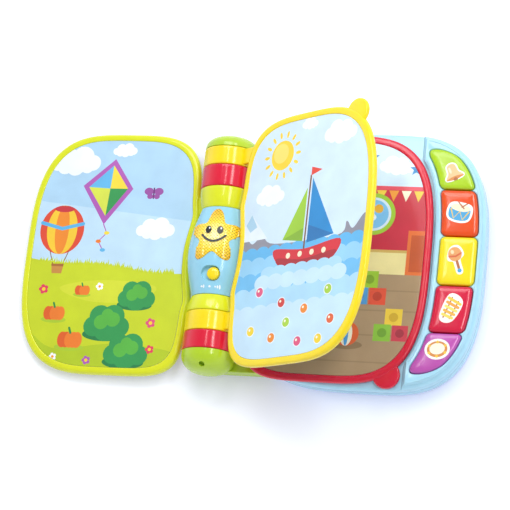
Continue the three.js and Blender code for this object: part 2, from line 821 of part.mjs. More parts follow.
function speaker() {
  const bottom = underside + shellWall + gap;
  const rim = 2.4;
  const magnet = speakerRadius * 0.45;
  return revolveUpright([
    [0, bottom + 2], [speakerRadius * 0.75, bottom + 1], [speakerRadius * 0.86, bottom],
    [speakerRadius, bottom], [speakerRadius, bottom + rim], [speakerRadius * 0.86, bottom + rim],
    [magnet * 1.2, bottom + speakerHeight * 0.6], [magnet, bottom + speakerHeight * 0.6],
    [magnet, bottom + speakerHeight], [0, bottom + speakerHeight],
  ], speakerX, speakerY, 20);
}

function battery(x) {
  const nub = 1;
  const end = batteryLength / 2;
  const profile = [
    [0, -end], [batteryRadius - 0.5, -end], [batteryRadius, -end + 0.5], [batteryRadius, end - nub - 0.5],
    [batteryRadius - 0.5, end - nub], [batteryRadius * 0.4, end - nub], [batteryRadius * 0.4, end], [0,
      end],
  ];
  return revolve(profile, 16).translate(x, batteryY, underside + shellWall + gap + batteryRadius);
}

function batteryContact(side) {
  const face = batteryY + side * (batteryLength / 2 + gap);
  const back = side > 0 ? bay.y1 - gap : bay.y0 + gap;
  const middle = batteryY + side * (batteryLength / 2 + gap + contactThickness);
  const z0 = underside + shellWall + gap;
  const plate = box(bay.x0 + gap, bay.x1 - gap, Math.min(middle, back), Math.max(middle, back), z0,
    bay.top - gap);
  const pads = [-1, 1].map((i) => {
    const pad = new THREE.CylinderGeometry(batteryRadius * 0.5, batteryRadius * 0.8,
      Math.abs(middle - face) + gap, 12);
    if (side > 0) pad.rotateX(Math.PI);
    pad.translate(batteryX + i * batteryPitch / 2, (face + middle) / 2 + side * gap / 2,
      z0 + batteryRadius);
    return solidOf(pad);
  });
  return joined([plate, ...pads]);
}

// Leaves, each drawn flat over the red page's side and turned about the spine afterwards

const redLow = deckHeight + leafGap - spineHeight;
const yellowLow = redLow + pageThickness + leafGap;
const coverLow = yellowLow + pageThickness + leafGap;

function leafFrame(low, thickness, spans, tab) {
  const high = low + thickness;
  const soft = rimRound * 0.3;
  let frame = loftOutline(leafOutline, [
    [rimWidth, low + cardRecess], [rimWidth, low], [rimRound, low], [0, low + rimRound],
    [0, high - rimRound], [rimRound, high], [rimWidth, high], [rimWidth, high - cardRecess],
  ]);
  if (tab) {
    const [z0, z1] = [low + tabInset, high - tabInset];
    const ear = revolveUpright([
      [0, z0], [tabRadius - rimRound, z0], [tabRadius, z0 + rimRound], [tabRadius, z1 - rimRound],
      [tabRadius - rimRound, z1], [0, z1],
    ], tabX, tab * tabY, 24);
    const panel = loftOutline(leafOutline, [[rimWidth - 1, low - 1], [rimWidth - 1, high + 1]]);
    frame = frame.add(ear.subtract(panel));
  }
  const bore = revolve([[0, -far], [tubeRadius + gap, -far], [tubeRadius + gap, far], [0, far]]);
  for (const [from, to] of spans) {
    const [start, end] = [Math.min(from, to) + gap / 2 + ringChamfer, Math.max(from,
      to) - gap / 2 - ringChamfer];
    const nearest = Math.abs(start) < Math.abs(end) ? start : end;
    const reach = leafStartAt(nearest) + rimWidth - soft;
    const arm = box(0, reach, start, end, low + soft, high - soft).subtract(bore);
    frame = frame.add(revolve(ringProfile(from, to))).add(arm);
  }
  return frame;
}

function card(bottom) {
  const inset = rimWidth + gap;
  return loftOutline(leafOutline, [[inset, bottom], [inset, bottom + cardThickness]]);
}

// Scene graph

const model = new THREE.Group();

function place(name, solid, colour, roughness, group = model, metalness = 0) {
  const material = new THREE.MeshStandardMaterial({ color: colour, roughness, metalness });
  const mesh = new THREE.Mesh(geometryOf(solid), material);
  mesh.name = name;
  group.add(mesh);
}

const gloss = 0.25;
const satin = 0.5;
const matt = 0.8;

place('base_bottom_shell', bottomShell(), colours.blue, gloss);
place('base_top_shell', topShell(), colours.paleBlue, gloss);
place('spine_housing', spineHousing(), colours.blue, gloss);
place('spine_end_cap_top', endCap(ringsTop, topCapLength, topTongueY), colours.capLime, gloss);
place('spine_end_cap_bottom', bottomCap(), colours.capLime, gloss);
place('hinge_tube_top', hingeTube(windowTop - windowSeat, ringsTop + capSeat), colours.paleBlue, satin);
place('hinge_tube_bottom', hingeTube(ringsBottom - capSeat, windowBottom + windowSeat), colours.paleBlue,
  satin);
place('star_lens', starLens(), colours.star, gloss);
place('star_led', starLed(), colours.card, gloss);
place('spine_board', spineBoard(), colours.board, satin);
place('slide_switch_body', switchBody(), colours.black, satin);
place('slide_knob', slideKnob(), colours.yellow, gloss);
place('key_membrane', keyMembrane(), colours.rubber, matt);
place('key_board', keyStrip(0, keyBoardHeight, keyBoardHeight + boardThickness), colours.board, satin);
place('speaker', speaker(), colours.black, matt);
place('battery_left', battery(batteryX - batteryPitch / 2), colours.battery, satin);
place('battery_right', battery(batteryX + batteryPitch / 2), colours.battery, satin);
place('battery_contact_upper', batteryContact(1), colours.steel, gloss, model, 1);
place('battery_contact_lower', batteryContact(-1), colours.steel, gloss, model, 1);
place('battery_door', batteryDoor(), colours.blue, gloss);
place('battery_door_screw', screw(batteryX, doorScrewY, underside + screwHeadHeight - gap, doorScrewEnd),
  colours.steel, gloss,
  model, 1);
place('main_board', box(mainBoardX - mainBoardWidth / 2, mainBoardX + mainBoardWidth / 2,
  mainBoardY - mainBoardDepth / 2,
  mainBoardY + mainBoardDepth / 2, mainBoardHeight, mainBoardHeight + boardThickness), colours.board,
    satin);
screwPlaces.forEach(([x, y], i) => {
  place(`case_screw_${i + 1}`, screw(x, y, screwHeadTop, screwEnd), colours.steel, gloss, model, 1);
});
footPlaces.forEach(([x, y], i) => place(`rubber_foot_${i + 1}`, rubberFoot(x, y), colours.rubber, matt));

// A key: flange under the console, straight sides, a bevel and a slightly crowned top
function keyCentre(key) {
  return (key.low + key.high) / 2;
}

function keyCap(key) {
  const bottom = keyTop - keyDepth;
  const flangeTop = innerRoof - gap;
  const outline = (grow, ends) => keyOutline(key, grow, ends);
  const steps = [
    [0, 0, bottom], [0, 0, flangeTop - keyFlangeThickness], [keyFlange, 0, flangeTop - keyFlangeThickness],
    [keyFlange, 0, flangeTop], [0, 0, flangeTop], [0, 0, keyTop - 1.5], [-0.7, -0.7, keyTop - 0.6],
    [-2.4, -2.4, keyTop - 0.1], [-3.9, -3.9, keyTop],
  ];
  return loft(steps.map(([grow, ends, z]) => outline(grow, ends).map((p) => new THREE.Vector3(p.x, p.y,
    z))));
}

for (const key of keys) place(key.name, keyCap(key), key.colour, gloss);

function addLeaf(name, sides, low, thickness, colour, spans, angle, tab) {
  const leaf = new THREE.Group();
  leaf.rotation.y = -THREE.MathUtils.degToRad(angle);
  leaf.position.z = spineHeight;
  model.add(leaf);
  place(`${name}_frame`, leafFrame(low, thickness, spans, tab), colour, gloss, leaf);
  place(`${name}_${sides[0]}_print`, card(low + cardRecess - gap - cardThickness), colours.card, satin,
    leaf);
  place(`${name}_${sides[1]}_print`, card(low + thickness - cardRecess + gap), colours.card, satin, leaf);
}

const coverOuterFace = coverLow + coverThickness;
const coverDrop = THREE.MathUtils.radToDeg(Math.asin(
  (spineHeight - coverOuterFace - coverRest) / (leafCentre + leafHalfWidth),
));

addLeaf('cover', ['inner', 'outer'], coverLow, coverThickness, colours.lime, ringSpans.cover,
  180 + coverDrop, 0);
addLeaf('yellow_page', ['back', 'front'], yellowLow, pageThickness, colours.yellow, ringSpans.yellow,
  pageLift, 1);
addLeaf('red_page', ['back', 'front'], redLow, pageThickness, colours.red, ringSpans.red, 0, -1);

export default model;
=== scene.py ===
# %% [markdown]
# # An electronic sound book
# A toy book for small children lies open on a table. A round spine carries a star light and a
# slide switch. Three leaves turn on it, and a moulded base on the right holds five sound keys.
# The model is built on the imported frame: every piece below is a finer surface for one of its nodes,
# or a print that lies on one. All sizes in this script are millimetres until a mesh is made.

# %% Load the frame and keep its box
import bmesh
import bpy
import math
import numpy as np
from mathutils import Matrix, Vector
from mathutils.geometry import delaunay_2d_cdt


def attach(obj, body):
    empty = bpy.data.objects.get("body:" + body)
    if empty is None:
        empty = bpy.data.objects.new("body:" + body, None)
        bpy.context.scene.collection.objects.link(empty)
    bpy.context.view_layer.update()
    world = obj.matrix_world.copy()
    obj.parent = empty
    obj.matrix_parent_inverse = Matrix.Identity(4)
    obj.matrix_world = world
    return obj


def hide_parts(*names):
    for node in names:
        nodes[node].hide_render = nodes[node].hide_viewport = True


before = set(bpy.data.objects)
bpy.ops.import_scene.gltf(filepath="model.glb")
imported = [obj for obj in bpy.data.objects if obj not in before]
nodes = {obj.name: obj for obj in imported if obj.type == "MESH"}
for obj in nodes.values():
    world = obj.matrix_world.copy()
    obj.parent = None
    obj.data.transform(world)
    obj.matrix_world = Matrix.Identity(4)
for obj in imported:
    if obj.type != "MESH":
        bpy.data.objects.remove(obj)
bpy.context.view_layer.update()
MM = 0.001

# %% [markdown]
# ## Sizes
# The curves of this toy are all rules: superellipses for the leaves and the base, and a cosine
# bulge for the spine's window. The script repeats those rules with many more steps, so that the
# fine surface lies on the frame's solids and only the facets go.

# %% Driving sizes
AXIS_Z = 26.0
SPINE_R, WAIST_R, BULGE = 23.7, 20.5, 7.5
WINDOW_TOP, WINDOW_BOTTOM = 36.0, -43.0
COVER_TOP, RED_TOP, YELLOW_TOP = 19.0, 20.0, 17.0
COVER_BOTTOM, YELLOW_BOTTOM, RED_BOTTOM = 14.8, 17.8, 16.4
TUBE_R = 17.8
GAP = 0.3
LEAF_X, LEAF_W, LEAF_H = 104.8, 82.4, 112.0
LEAF_OUT_POWER, LEAF_HEAD_POWER, LEAF_FOOT_POWER = 3.19, 4.0, 5.2
SOFTNESS, EDGE_CLEARANCE, BASE_CLEARANCE = 8.0, 1.6, 1.0
PAGE_T, COVER_T, PAGE_EDGE, COVER_EDGE = 5.8, 9.0, 2.3, 3.2
RIM, RECESS, CARD_T = 6.3, 1.6, 0.8
TAB_R, TAB_X, TAB_Y, TAB_INSET = 12.0, 158.0, 102.5, 0.7
BASE_X, BASE_W, BASE_H, BASE_IN_W = 140.4, 92.4, 115.5, 118.0
BASE_POWER, BASE_IN_POWER = 3.13, 3.4
PARTING_Z, DECK_Z, CONSOLE_Z = 11.0, 21.5, 28.5
CONSOLE_START, CONSOLE_LIP, CONSOLE_RAMP = 171.0, 2.0, 4.0
KEY_LEFT, KEY_RIGHT, KEY_GAP, KEY_TOP_Z = 7.5, 6.0, 1.0, 31.0
STAR_R, STAR_WAIST, STAR_POWER, STAR_Y, STAR_PROUD = 25.8, 15.0, 1.15, 7.6, 0.9
CAP_POWER, CAP_TOP_L, CAP_BOTTOM_L = 2.5, 13.5, 19.0
TONGUE_START, TONGUE_END, TONGUE_W, TONGUE_BEVEL = 6.0, 58.0, 5.5, 0.6
TONGUE_LOW, TONGUE_HIGH, TONGUE_TOP_Y, TONGUE_BOTTOM_Y = 5.4, 18.6, 90.0, -100.0
SWITCH_Y, SWITCH_L, SWITCH_W, SWITCH_DEPTH = -26.2, 17.2, 12.8, 4.2
KNOB_R, KNOB_X, KNOB_PROUD = 5.6, 2.5, 0.9
LEAF_GAP, COVER_REST = 0.5, 0.4
RED_LOW = DECK_Z + LEAF_GAP - AXIS_Z
YELLOW_LOW = RED_LOW + PAGE_T + LEAF_GAP
COVER_LOW = YELLOW_LOW + PAGE_T + LEAF_GAP
PAGE_LIFT = 32.3
COVER_DROP = math.degrees(math.asin((AXIS_Z - COVER_LOW - COVER_T - COVER_REST) / (LEAF_X + LEAF_W)))


def signed_power(value, power):
    return np.sign(value) * np.abs(value) ** power


def around(steps):
    """Angles once round, without the last one, which is the first again."""
    return np.linspace(0, 2 * math.pi, steps, endpoint=False)


def spine_radius(y):
    """Outer radius of the spine at a height on the page."""
    past = max((y - WINDOW_TOP) / COVER_TOP, (WINDOW_BOTTOM - y) / COVER_BOTTOM)
    if past > 0:
        return WAIST_R + (SPINE_R - WAIST_R) * math.sin(min(past, 1.0) * math.pi / 2)
    t = (2 * y - WINDOW_TOP - WINDOW_BOTTOM) / (WINDOW_TOP - WINDOW_BOTTOM)
    return WAIST_R + BULGE * math.cos(t * math.pi / 2)


def rounded_outline(centre, outer, inner, half_height, inner_edge, steps):
    """A rounded outline with its own width and fullness on each side, in even steps."""
    line = []
    for angle in around(1440):
        c, s = math.cos(angle), math.sin(angle)
        width, head_power, foot_power = outer if c >= 0 else inner
        power = foot_power if s < 0 else head_power
        x = centre + width * signed_power(c, 2 / power)
        y = half_height * signed_power(s, 2 / power)
        line.append((x if c >= 0 else inner_edge(x, y), y))
    closed = np.array(line + line[:1])
    along = np.concatenate([[0], np.cumsum(np.hypot(*np.diff(closed, axis=0).T))])
    wanted = np.linspace(0, along[-1], steps, endpoint=False)
    return np.stack([np.interp(wanted, along, closed[:, i]) for i in (0, 1)], 1)


def past_spine(x, y, inset=0.0):
    """Moves an inner edge softly clear of the spine."""
    edge = spine_radius(y) + EDGE_CLEARANCE + inset
    return (x + edge + math.hypot(x - edge, SOFTNESS)) / 2


def leaf_outline(inset, steps=220):
    outer = (LEAF_W - inset, LEAF_OUT_POWER, LEAF_OUT_POWER)
    inner = (LEAF_W - inset, LEAF_HEAD_POWER, LEAF_FOOT_POWER)
    return rounded_outline(LEAF_X, outer, inner, LEAF_H - inset, lambda x, y: past_spine(x, y, inset), steps)


def leaf_start(y):
    """Where the leaf begins beside the spine, at a height on the page."""
    power = LEAF_HEAD_POWER if y > 0 else LEAF_FOOT_POWER
    return past_spine(LEAF_X - LEAF_W * (1 - (abs(y) / LEAF_H) ** power) ** (1 / power), y)


def base_outline(inset, steps=240):
    outer = (BASE_W - inset, BASE_POWER, BASE_POWER)
    inner = (BASE_IN_W - inset, BASE_IN_POWER, BASE_IN_POWER)
    edge = SPINE_R + BASE_CLEARANCE + inset
    return rounded_outline(BASE_X, outer, inner, BASE_H - inset, lambda x, y: max(x, edge), steps)


print("cover drop: %.2f degrees, leaf outline points: %d" % (COVER_DROP, len(leaf_outline(0))))

# %% [markdown]
# ## The camera
# It stands high over the lower right corner of the open book, turned so that the spine runs down
# the picture. The long lens keeps the leaves nearly parallel.

# %% Camera
AZIMUTH, ELEVATION, ROLL = map(math.radians, (42.64, 68.41, -38.25))
FOCAL_PX, DISTANCE, PICTURE_PX, SENSOR = 2420.1, 2124.8, 510, 36.0
TARGET = np.array([29.85, 0.73, 20.0])
back = np.array([math.sin(AZIMUTH) * math.cos(ELEVATION), -math.cos(AZIMUTH) * math.cos(ELEVATION),
                 math.sin(ELEVATION)])
level = np.array([math.cos(AZIMUTH), math.sin(AZIMUTH), 0.0])
rise = np.cross(back, level)
right = math.cos(ROLL) * level + math.sin(ROLL) * rise
up = -math.sin(ROLL) * level + math.cos(ROLL) * rise
camera_data = bpy.data.cameras.new("camera")
camera_data.sensor_width = SENSOR
camera_data.lens = FOCAL_PX / PICTURE_PX * SENSOR
camera_data.clip_end = 20.0
camera = bpy.data.objects.new("camera", camera_data)
bpy.context.scene.collection.objects.link(camera)
turn = Matrix((right, up, back)).transposed()
camera.matrix_world = Matrix.Translation(Vector((TARGET + DISTANCE * back) * MM)) @ turn.to_4x4()
bpy.context.scene.camera = camera
print("lens: %.1f mm" % camera_data.lens)

# %% [markdown]
# ## Materials
# The shells, rings, caps and keys are injection-moulded ABS with a polished tool, so they are very
# smooth, with a faint flow mottle in the colour and a slight orange peel. The pages are offset
# printed card under a clear film: a matt ink with paper grain under a glossy coat.

# %% Shader helpers
def linear(hex_colour):
    """An sRGB hex colour as linear RGBA."""
    values = [int(hex_colour[i:i + 2], 16) / 255 for i in (1, 3, 5)]
    return tuple(v / 12.92 if v <= 0.04045 else ((v + 0.055) / 1.055) ** 2.4 for v in values) + (1.0,)


def add(tree, kind, values=(), **settings):
    """Adds a shader node. values sets or links its inputs by name or number."""
    node = tree.nodes.new(kind)
    for key, value in settings.items():
        setattr(node, key, value)
    for key, value in dict(values).items():
        if isinstance(value, bpy.types.NodeSocket):
            tree.links.new(value, node.inputs[key])
        else:
            node.inputs[key].default_value = value
    return node


def new_material(name):
    """A material with one principled shader, and Object coordinates in millimetres."""
    material = bpy.data.materials.new(name)
    material.use_nodes = True
    tree = material.node_tree
    tree.nodes.clear()
    shader = add(tree, "ShaderNodeBsdfPrincipled")
    add(tree, "ShaderNodeOutputMaterial", {"Surface": shader.outputs[0]})
    where = add(tree, "ShaderNodeTexCoord").outputs["Object"]
    in_mm = add(tree, "ShaderNodeVectorMath", {0: where, 1: (1 / MM, 1 / MM, 1 / MM)}, operation="MULTIPLY")
    return material, tree, shader, in_mm.outputs[0]


def patches(tree, mm, size, low, high):
    """A value that drifts from low to high in patches of about size millimetres."""
    noise = add(tree, "ShaderNodeTexNoise", {"Vector": mm, "Scale": 1 / size, "Detail": 2.0})
    spread = {"Value": noise.outputs["Fac"], "From Min": 0.3, "From Max": 0.7, "To Min": low, "To Max": high}
    return add(tree, "ShaderNodeMapRange", spread).outputs[0]


def mottled(tree, mm, colour, size, amount):
    """The colour, lighter and darker by amount in patches of size millimetres."""
    value = patches(tree, mm, size, 1 - amount, 1 + amount)
    return add(tree, "ShaderNodeHueSaturation", {"Color": colour, "Value": value}).outputs[0]


def relief(tree, mm, size, detail, strength, depth):
    """A normal that waves in features of size millimetres, as a moulded or pressed skin does."""
    noise = add(tree, "ShaderNodeTexNoise", {"Vector": mm, "Scale": 1 / size, "Detail": detail})
    waves = {"Height": noise.outputs["Fac"], "Strength": strength, "Distance": depth * MM}
    return add(tree, "ShaderNodeBump", waves).outputs[0]


print("shader helpers ready")

# %% Finishes as functions
def abs_plastic(name, hex_colour, roughness=0.14):
    """ABS from a polished tool: a faint flow mottle, a slight orange peel and a soft inner glow."""
    material, tree, shader, mm = new_material("injection_moulded_abs_" + name)
    tree.links.new(mottled(tree, mm, linear(hex_colour), 14.0, 0.03), shader.inputs["Base Color"])
    tree.links.new(patches(tree, mm, 3.0, roughness, roughness + 0.06), shader.inputs["Roughness"])
    tree.links.new(relief(tree, mm, 2.2, 1.0, 0.05, 0.08), shader.inputs["Normal"])
    shader.inputs["IOR"].default_value = 1.53
    shader.inputs["Subsurface Weight"].default_value = 0.12
    shader.inputs["Subsurface Radius"].default_value = (1.0, 1.0, 1.0)
    shader.inputs["Subsurface Scale"].default_value = 1.5 * MM
    return material


def rough_surface(name, hex_colour, roughness, size, metallic=0.0):
    """A plain surface with a grain of size millimetres, for pieces that are not polished plastic."""
    material, tree, shader, mm = new_material(name)
    tree.links.new(mottled(tree, mm, linear(hex_colour), size, 0.08), shader.inputs["Base Color"])
    gloss = patches(tree, mm, size * 3, roughness - 0.06, roughness + 0.06)
    tree.links.new(gloss, shader.inputs["Roughness"])
    tree.links.new(relief(tree, mm, size, 2.0, 0.2, 0.05), shader.inputs["Normal"])
    shader.inputs["Metallic"].default_value = metallic
    return material


INKS = {}


def ink(hex_colour):
    """Offset-printed ink on card: an uneven wash with paper grain, under a clear laminate film."""
    if hex_colour not in INKS:
        material, tree, shader, mm = new_material("offset_print_" + hex_colour[1:])
        wash = mottled(tree, mm, linear(hex_colour), 22.0, 0.05)
        tree.links.new(mottled(tree, mm, wash, 0.6, 0.02), shader.inputs["Base Color"])
        tree.links.new(patches(tree, mm, 0.6, 0.34, 0.44), shader.inputs["Roughness"])
        shader.inputs["Coat Weight"].default_value = 0.25
        shader.inputs["Coat Roughness"].default_value = 0.12
        shader.inputs["Coat IOR"].default_value = 1.45
        INKS[hex_colour] = material
    return INKS[hex_colour]


print("finish functions ready")

# %% The finishes of this book
LIME_RIM = abs_plastic("lime_yellow", "#dfe422")
CAP_LIME = abs_plastic("cap_lime", "#b6d428")
YELLOW = abs_plastic("yellow", "#f9db10")
RED = abs_plastic("red", "#dd1636")
BLUE = abs_plastic("light_blue", "#b2e2f4")
WINDOW_BLUE = abs_plastic("window_blue", "#98d3ea")
GREY = abs_plastic("natural_grey", "#c9ced2", 0.35)
KEY_COLOURS = {"lime": "#b2d722", "orange": "#ea4f12", "yellow": "#f9df0e", "red": "#d91840",
               "purple": "#c257b1"}
KEY_PLASTIC = {name: abs_plastic("key_" + name, colour) for name, colour in KEY_COLOURS.items()}
SHADE_PAPER = ink("#dfe7ea")
print("materials:", len(bpy.data.materials))

# %% [markdown]
# ## Mesh helpers
# A moulded piece is a stack of outlines, or a profile turned about an axis. One builder collects
# such surfaces, and a shade-smooth mesh with sharp edges above 32 degrees comes out of it.

# %% Mesh builder
SHARP = math.radians(32)


def smooth(mesh):
    """Shades a mesh smooth, with its sharp edges kept."""
    mesh.polygons.foreach_set("use_smooth", [True] * len(mesh.polygons))
    mesh.set_sharp_from_angle(angle=SHARP)


def link(name, mesh):
    piece = bpy.data.objects.new(name, mesh)
    bpy.context.scene.collection.objects.link(piece)
    return piece


def make_object(name, verts, faces, materials, face_materials):
    mesh = bpy.data.meshes.new(name)
    mesh.from_pydata([tuple(float(c) * MM for c in v) for v in verts], [], [tuple(f) for f in faces])
    for material in materials:
        mesh.materials.append(material)
    mesh.polygons.foreach_set("material_index", face_materials)
    smooth(mesh)
    mesh.update()
    return link(name, mesh)


class Builder:
    """Collects surfaces for one piece, and places them with a function of its own."""

    def __init__(self, place=lambda p: p):
        self.verts, self.faces, self.slots, self.place = [], [], [], place

    def add(self, verts, faces, slots):
        start = len(self.verts)
        self.verts += [self.place(v) for v in verts]
        self.faces += [[start + i for i in face] for face in faces]
        self.slots += slots

    def loft(self, rings, slot=0, low_cap=True, high_cap=True):
        count = len(rings[0])
        faces = []
        for k in range(len(rings) - 1):
            for i in range(count):
                j = (i + 1) % count
                faces.append((k * count + i, k * count + j, (k + 1) * count + j, (k + 1) * count + i))
        if low_cap:
            faces.append(tuple(range(count - 1, -1, -1)))
        if high_cap:
            faces.append(tuple((len(rings) - 1) * count + i for i in range(count)))
        self.add([p for ring in rings for p in ring], faces, [slot] * len(faces))

    def stack(self, outline, profile, **caps):
        """Lofts outline(inset) through a profile of (inset, height) steps."""
        self.loft([[(x, y, z) for x, y in outline(inset)] for inset, z in profile], **caps)

    def spin(self, profile, steps=96):
        """Turns a (radius, y) profile, closed by itself, about the spine's axis."""
        verts = [(r * math.cos(a), y, r * math.sin(a)) for a in around(steps) for r, y in profile]
        n = len(profile)
        faces = []
        for k in range(steps):
            following = (k + 1) % steps
            for i in range(n):
                j = (i + 1) % n
                if profile[i][0] or profile[j][0]:
                    faces.append((k * n + i, k * n + j, following * n + j, following * n + i))
        self.add(verts, faces, [0] * len(faces))

    def finish(self, name, *materials):
        return make_object(name, self.verts, self.faces, materials, self.slots)


print("builder ready")

# %% Rings, cuts and places
def circle(x, y, r, ry=None, steps=28, turned=0.0):
    ry = r if ry is None else ry
    c, s = math.cos(turned), math.sin(turned)
    local = [(r * math.cos(a), ry * math.sin(a)) for a in around(steps)]
    return [(x + u * c - v * s, y + u * s + v * c) for u, v in local]


def disc_rings(x, y, profile, steps=64):
    """Rings of an upright turned piece from a (radius, height) profile, lowest first."""
    return [[(px, py, z) for px, py in circle(x, y, r, steps=steps)] for r, z in profile]


def cut(piece, *cutters):
    """Cuts closed cutters out of a closed piece, and removes the cutters."""
    welded = bmesh.new()
    welded.from_mesh(piece.data)
    bmesh.ops.remove_doubles(welded, verts=welded.verts, dist=1e-6)
    welded.to_mesh(piece.data)
    welded.free()
    for cutter in cutters:
        modifier = piece.modifiers.new("cut", "BOOLEAN")
        modifier.operation, modifier.solver, modifier.object = "DIFFERENCE", "EXACT", cutter
    graph = bpy.context.evaluated_depsgraph_get()
    mesh = bpy.data.meshes.new_from_object(piece.evaluated_get(graph))
    piece.modifiers.clear()
    piece.data = mesh
    smooth(mesh)
    for cutter in cutters:
        bpy.data.objects.remove(cutter)
    return piece


def settle(piece, body, slot, *replaced):
    """Attaches a piece to the body that carries it and hides the nodes it stands for. slot, the finish's
    name, is not used.
    """
    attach(piece, body)
    if replaced:
        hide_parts(*replaced)
    return piece


def on_spine(p):
    return (p[0], p[1], p[2] + AXIS_Z)


def turned(angle):
    """Places a flat leaf's point, given from the hinge axis, at its angle above the red page's side."""
    c, s = math.cos(math.radians(angle)), math.sin(math.radians(angle))
    return lambda p: (p[0] * c - p[2] * s, p[1], AXIS_Z + p[0] * s + p[2] * c)


print("cuts and places ready")

# %% Leaves and their knuckle rings
SEAMS_UP = [float(y) for y in np.cumsum([WINDOW_TOP, COVER_TOP, RED_TOP, YELLOW_TOP])]
SEAMS_DOWN = [float(y) for y in np.cumsum([WINDOW_BOTTOM, -COVER_BOTTOM, -YELLOW_BOTTOM, -RED_BOTTOM])]
RINGS_TOP, RINGS_BOTTOM = SEAMS_UP[-1], SEAMS_DOWN[-1]
LEAVES = {
    "cover": dict(low=COVER_LOW, t=COVER_T, edge=COVER_EDGE, angle=180 + COVER_DROP, tab=0,
                  material=LIME_RIM, slot="lime_yellow_plastic",
                  spans=[(SEAMS_UP[0], SEAMS_UP[1]), (SEAMS_DOWN[1], SEAMS_DOWN[0])]),
    "yellow_page": dict(low=YELLOW_LOW, t=PAGE_T, edge=PAGE_EDGE, angle=PAGE_LIFT, tab=1,
                        material=YELLOW, slot="yellow_plastic",
                        spans=[(SEAMS_UP[2], SEAMS_UP[3]), (SEAMS_DOWN[2], SEAMS_DOWN[1])]),
    "red_page": dict(low=RED_LOW, t=PAGE_T, edge=PAGE_EDGE, angle=0.0, tab=-1,
                     material=RED, slot="red_plastic",
                     spans=[(SEAMS_UP[1], SEAMS_UP[2]), (SEAMS_DOWN[3], SEAMS_DOWN[2])]),
}


def quarter(radius, steps=5):
    """(across, along) steps of a quarter round, from the flat side to the upright one."""
    angles = np.linspace(0, math.pi / 2, steps)
    return [(radius * (1 - math.sin(a)), radius * (1 - math.cos(a))) for a in angles]


print("rings from %.1f to %.1f" % (RINGS_BOTTOM, RINGS_TOP))

# %% [markdown]
# ## Leaf frames
# Each leaf is one moulding: a panel with a raised, rounded rim, two knuckle rings that turn on the
# spine's tube, an arm from each ring, and on the pages a thumb tab. The rim is a quarter round
# outside and a small one inside, as a mould needs.

# %% Leaf frames
RING_EDGE, TAB_ROUND = 1.1, 1.6
LIP = 0.9
LIP_STEPS = [(0.9, 0.9), (0.78, 0.45), (0.45, 0.12), (0.0, 0.0)]
ARM_HUB, ARM_INSET, ARM_SETBACK, ARM_ROUND, ARM_OVERLAP = 20.0, 1.2, 1.1, 0.8, 2.4


def ring_profile(low, high):
    """A knuckle ring's (radius, y) section, with its outer edges rounded."""
    start, end = low + GAP / 2, high - GAP / 2
    inner = TUBE_R + GAP
    profile = [(inner, start)]
    edge = quarter(RING_EDGE)
    profile += [(spine_radius(start + along) - across, start + along) for across, along in edge]
    profile += [(spine_radius(y), y) for y in np.linspace(start + RING_EDGE, end - RING_EDGE, 10)[1:-1]]
    profile += [(spine_radius(end - along) - across, end - along) for across, along in edge[::-1]]
    return profile + [(inner, end)]


def leaf_section(low, high, edge):
    """(inset, height) steps from the lower panel face round the rim to the upper panel face."""
    lip = [(RIM - LIP + across, along) for across, along in LIP_STEPS]
    below = [(RIM, low + RECESS)] + [(inset, low + z) for inset, z in lip + quarter(edge, 6)]
    return below + [(inset, low + high - z) for inset, z in below[::-1]]


def add_arm(build, low, high, y0, y1):
    """A bar from a knuckle ring into the rim, with softened ends."""
    w0, w1 = low + ARM_SETBACK, high - ARM_SETBACK
    x0, x1 = (math.sqrt(max(ARM_HUB ** 2 - w ** 2, 4.0)) for w in (w0, w1))
    reach = max(leaf_start(y0), leaf_start(y1)) + ARM_OVERLAP
    start, end = y0 + ARM_INSET, y1 - ARM_INSET
    rings = []
    for y, slimmer in ((end, ARM_ROUND), (end - ARM_ROUND, 0), (start + ARM_ROUND, 0), (start, ARM_ROUND)):
        corners = ((x0, w0 + slimmer), (reach, w0 + slimmer), (reach, w1 - slimmer), (x1, w1 - slimmer))
        rings.append([(x, y, w) for x, w in corners])
    build.loft(rings)


def add_tab(build, low, high, side):
    """A round thumb tab at the rim's outer corner."""
    z0, z1 = low + TAB_INSET, high - TAB_INSET
    half = [(1.0, z0)] + [(TAB_R - across, z0 + along) for across, along in quarter(TAB_ROUND)]
    build.loft(disc_rings(TAB_X, side * TAB_Y, half + [(r, z0 + z1 - z) for r, z in half[::-1]], 48))


for name, leaf in LEAVES.items():
    low, high = leaf["low"], leaf["low"] + leaf["t"]
    build = Builder(turned(leaf["angle"]))
    build.stack(leaf_outline, leaf_section(low, high, leaf["edge"]))
    for y0, y1 in leaf["spans"]:
        build.spin(ring_profile(y0, y1))
        add_arm(build, low, high, y0, y1)
    if leaf["tab"]:
        add_tab(build, low, high, leaf["tab"])
    settle(build.finish(name + "_moulding", leaf["material"]), name, leaf["slot"], name + "_frame")
print("leaf frames:", ", ".join(LEAVES))

# %% [markdown]
# ## The spine
# The window housing is a half barrel that swells between its two waists. A stadium-shaped recess
# holds the slide switch. The domed end caps are superellipses turned about the axis.

# %% Spine window and knob
WINDOW_STEP = 0.7
CREST = AXIS_Z + spine_radius(SWITCH_Y)
RECESS_FLOOR = CREST - SWITCH_DEPTH
HOLE_R, HOLE_ALONG, HOLE_UP, HOLE_LEAN = 2.6, 0.72, 0.78, math.radians(36)

window = Builder(on_spine)
heights = np.linspace(WINDOW_TOP, WINDOW_BOTTOM, 49)
stations = [(heights[0], WINDOW_STEP)] + [(y, 0.0) for y in heights] + [(heights[-1], WINDOW_STEP)]
sections = []
for y, step in stations:
    r = spine_radius(y) - step
    half_round = np.linspace(0, math.pi, 65)
    sections.append([(r * math.cos(a), y, max(r * math.sin(a), GAP / 2)) for a in half_round])
window.loft(sections)
window_piece = window.finish("spine_window", WINDOW_BLUE)


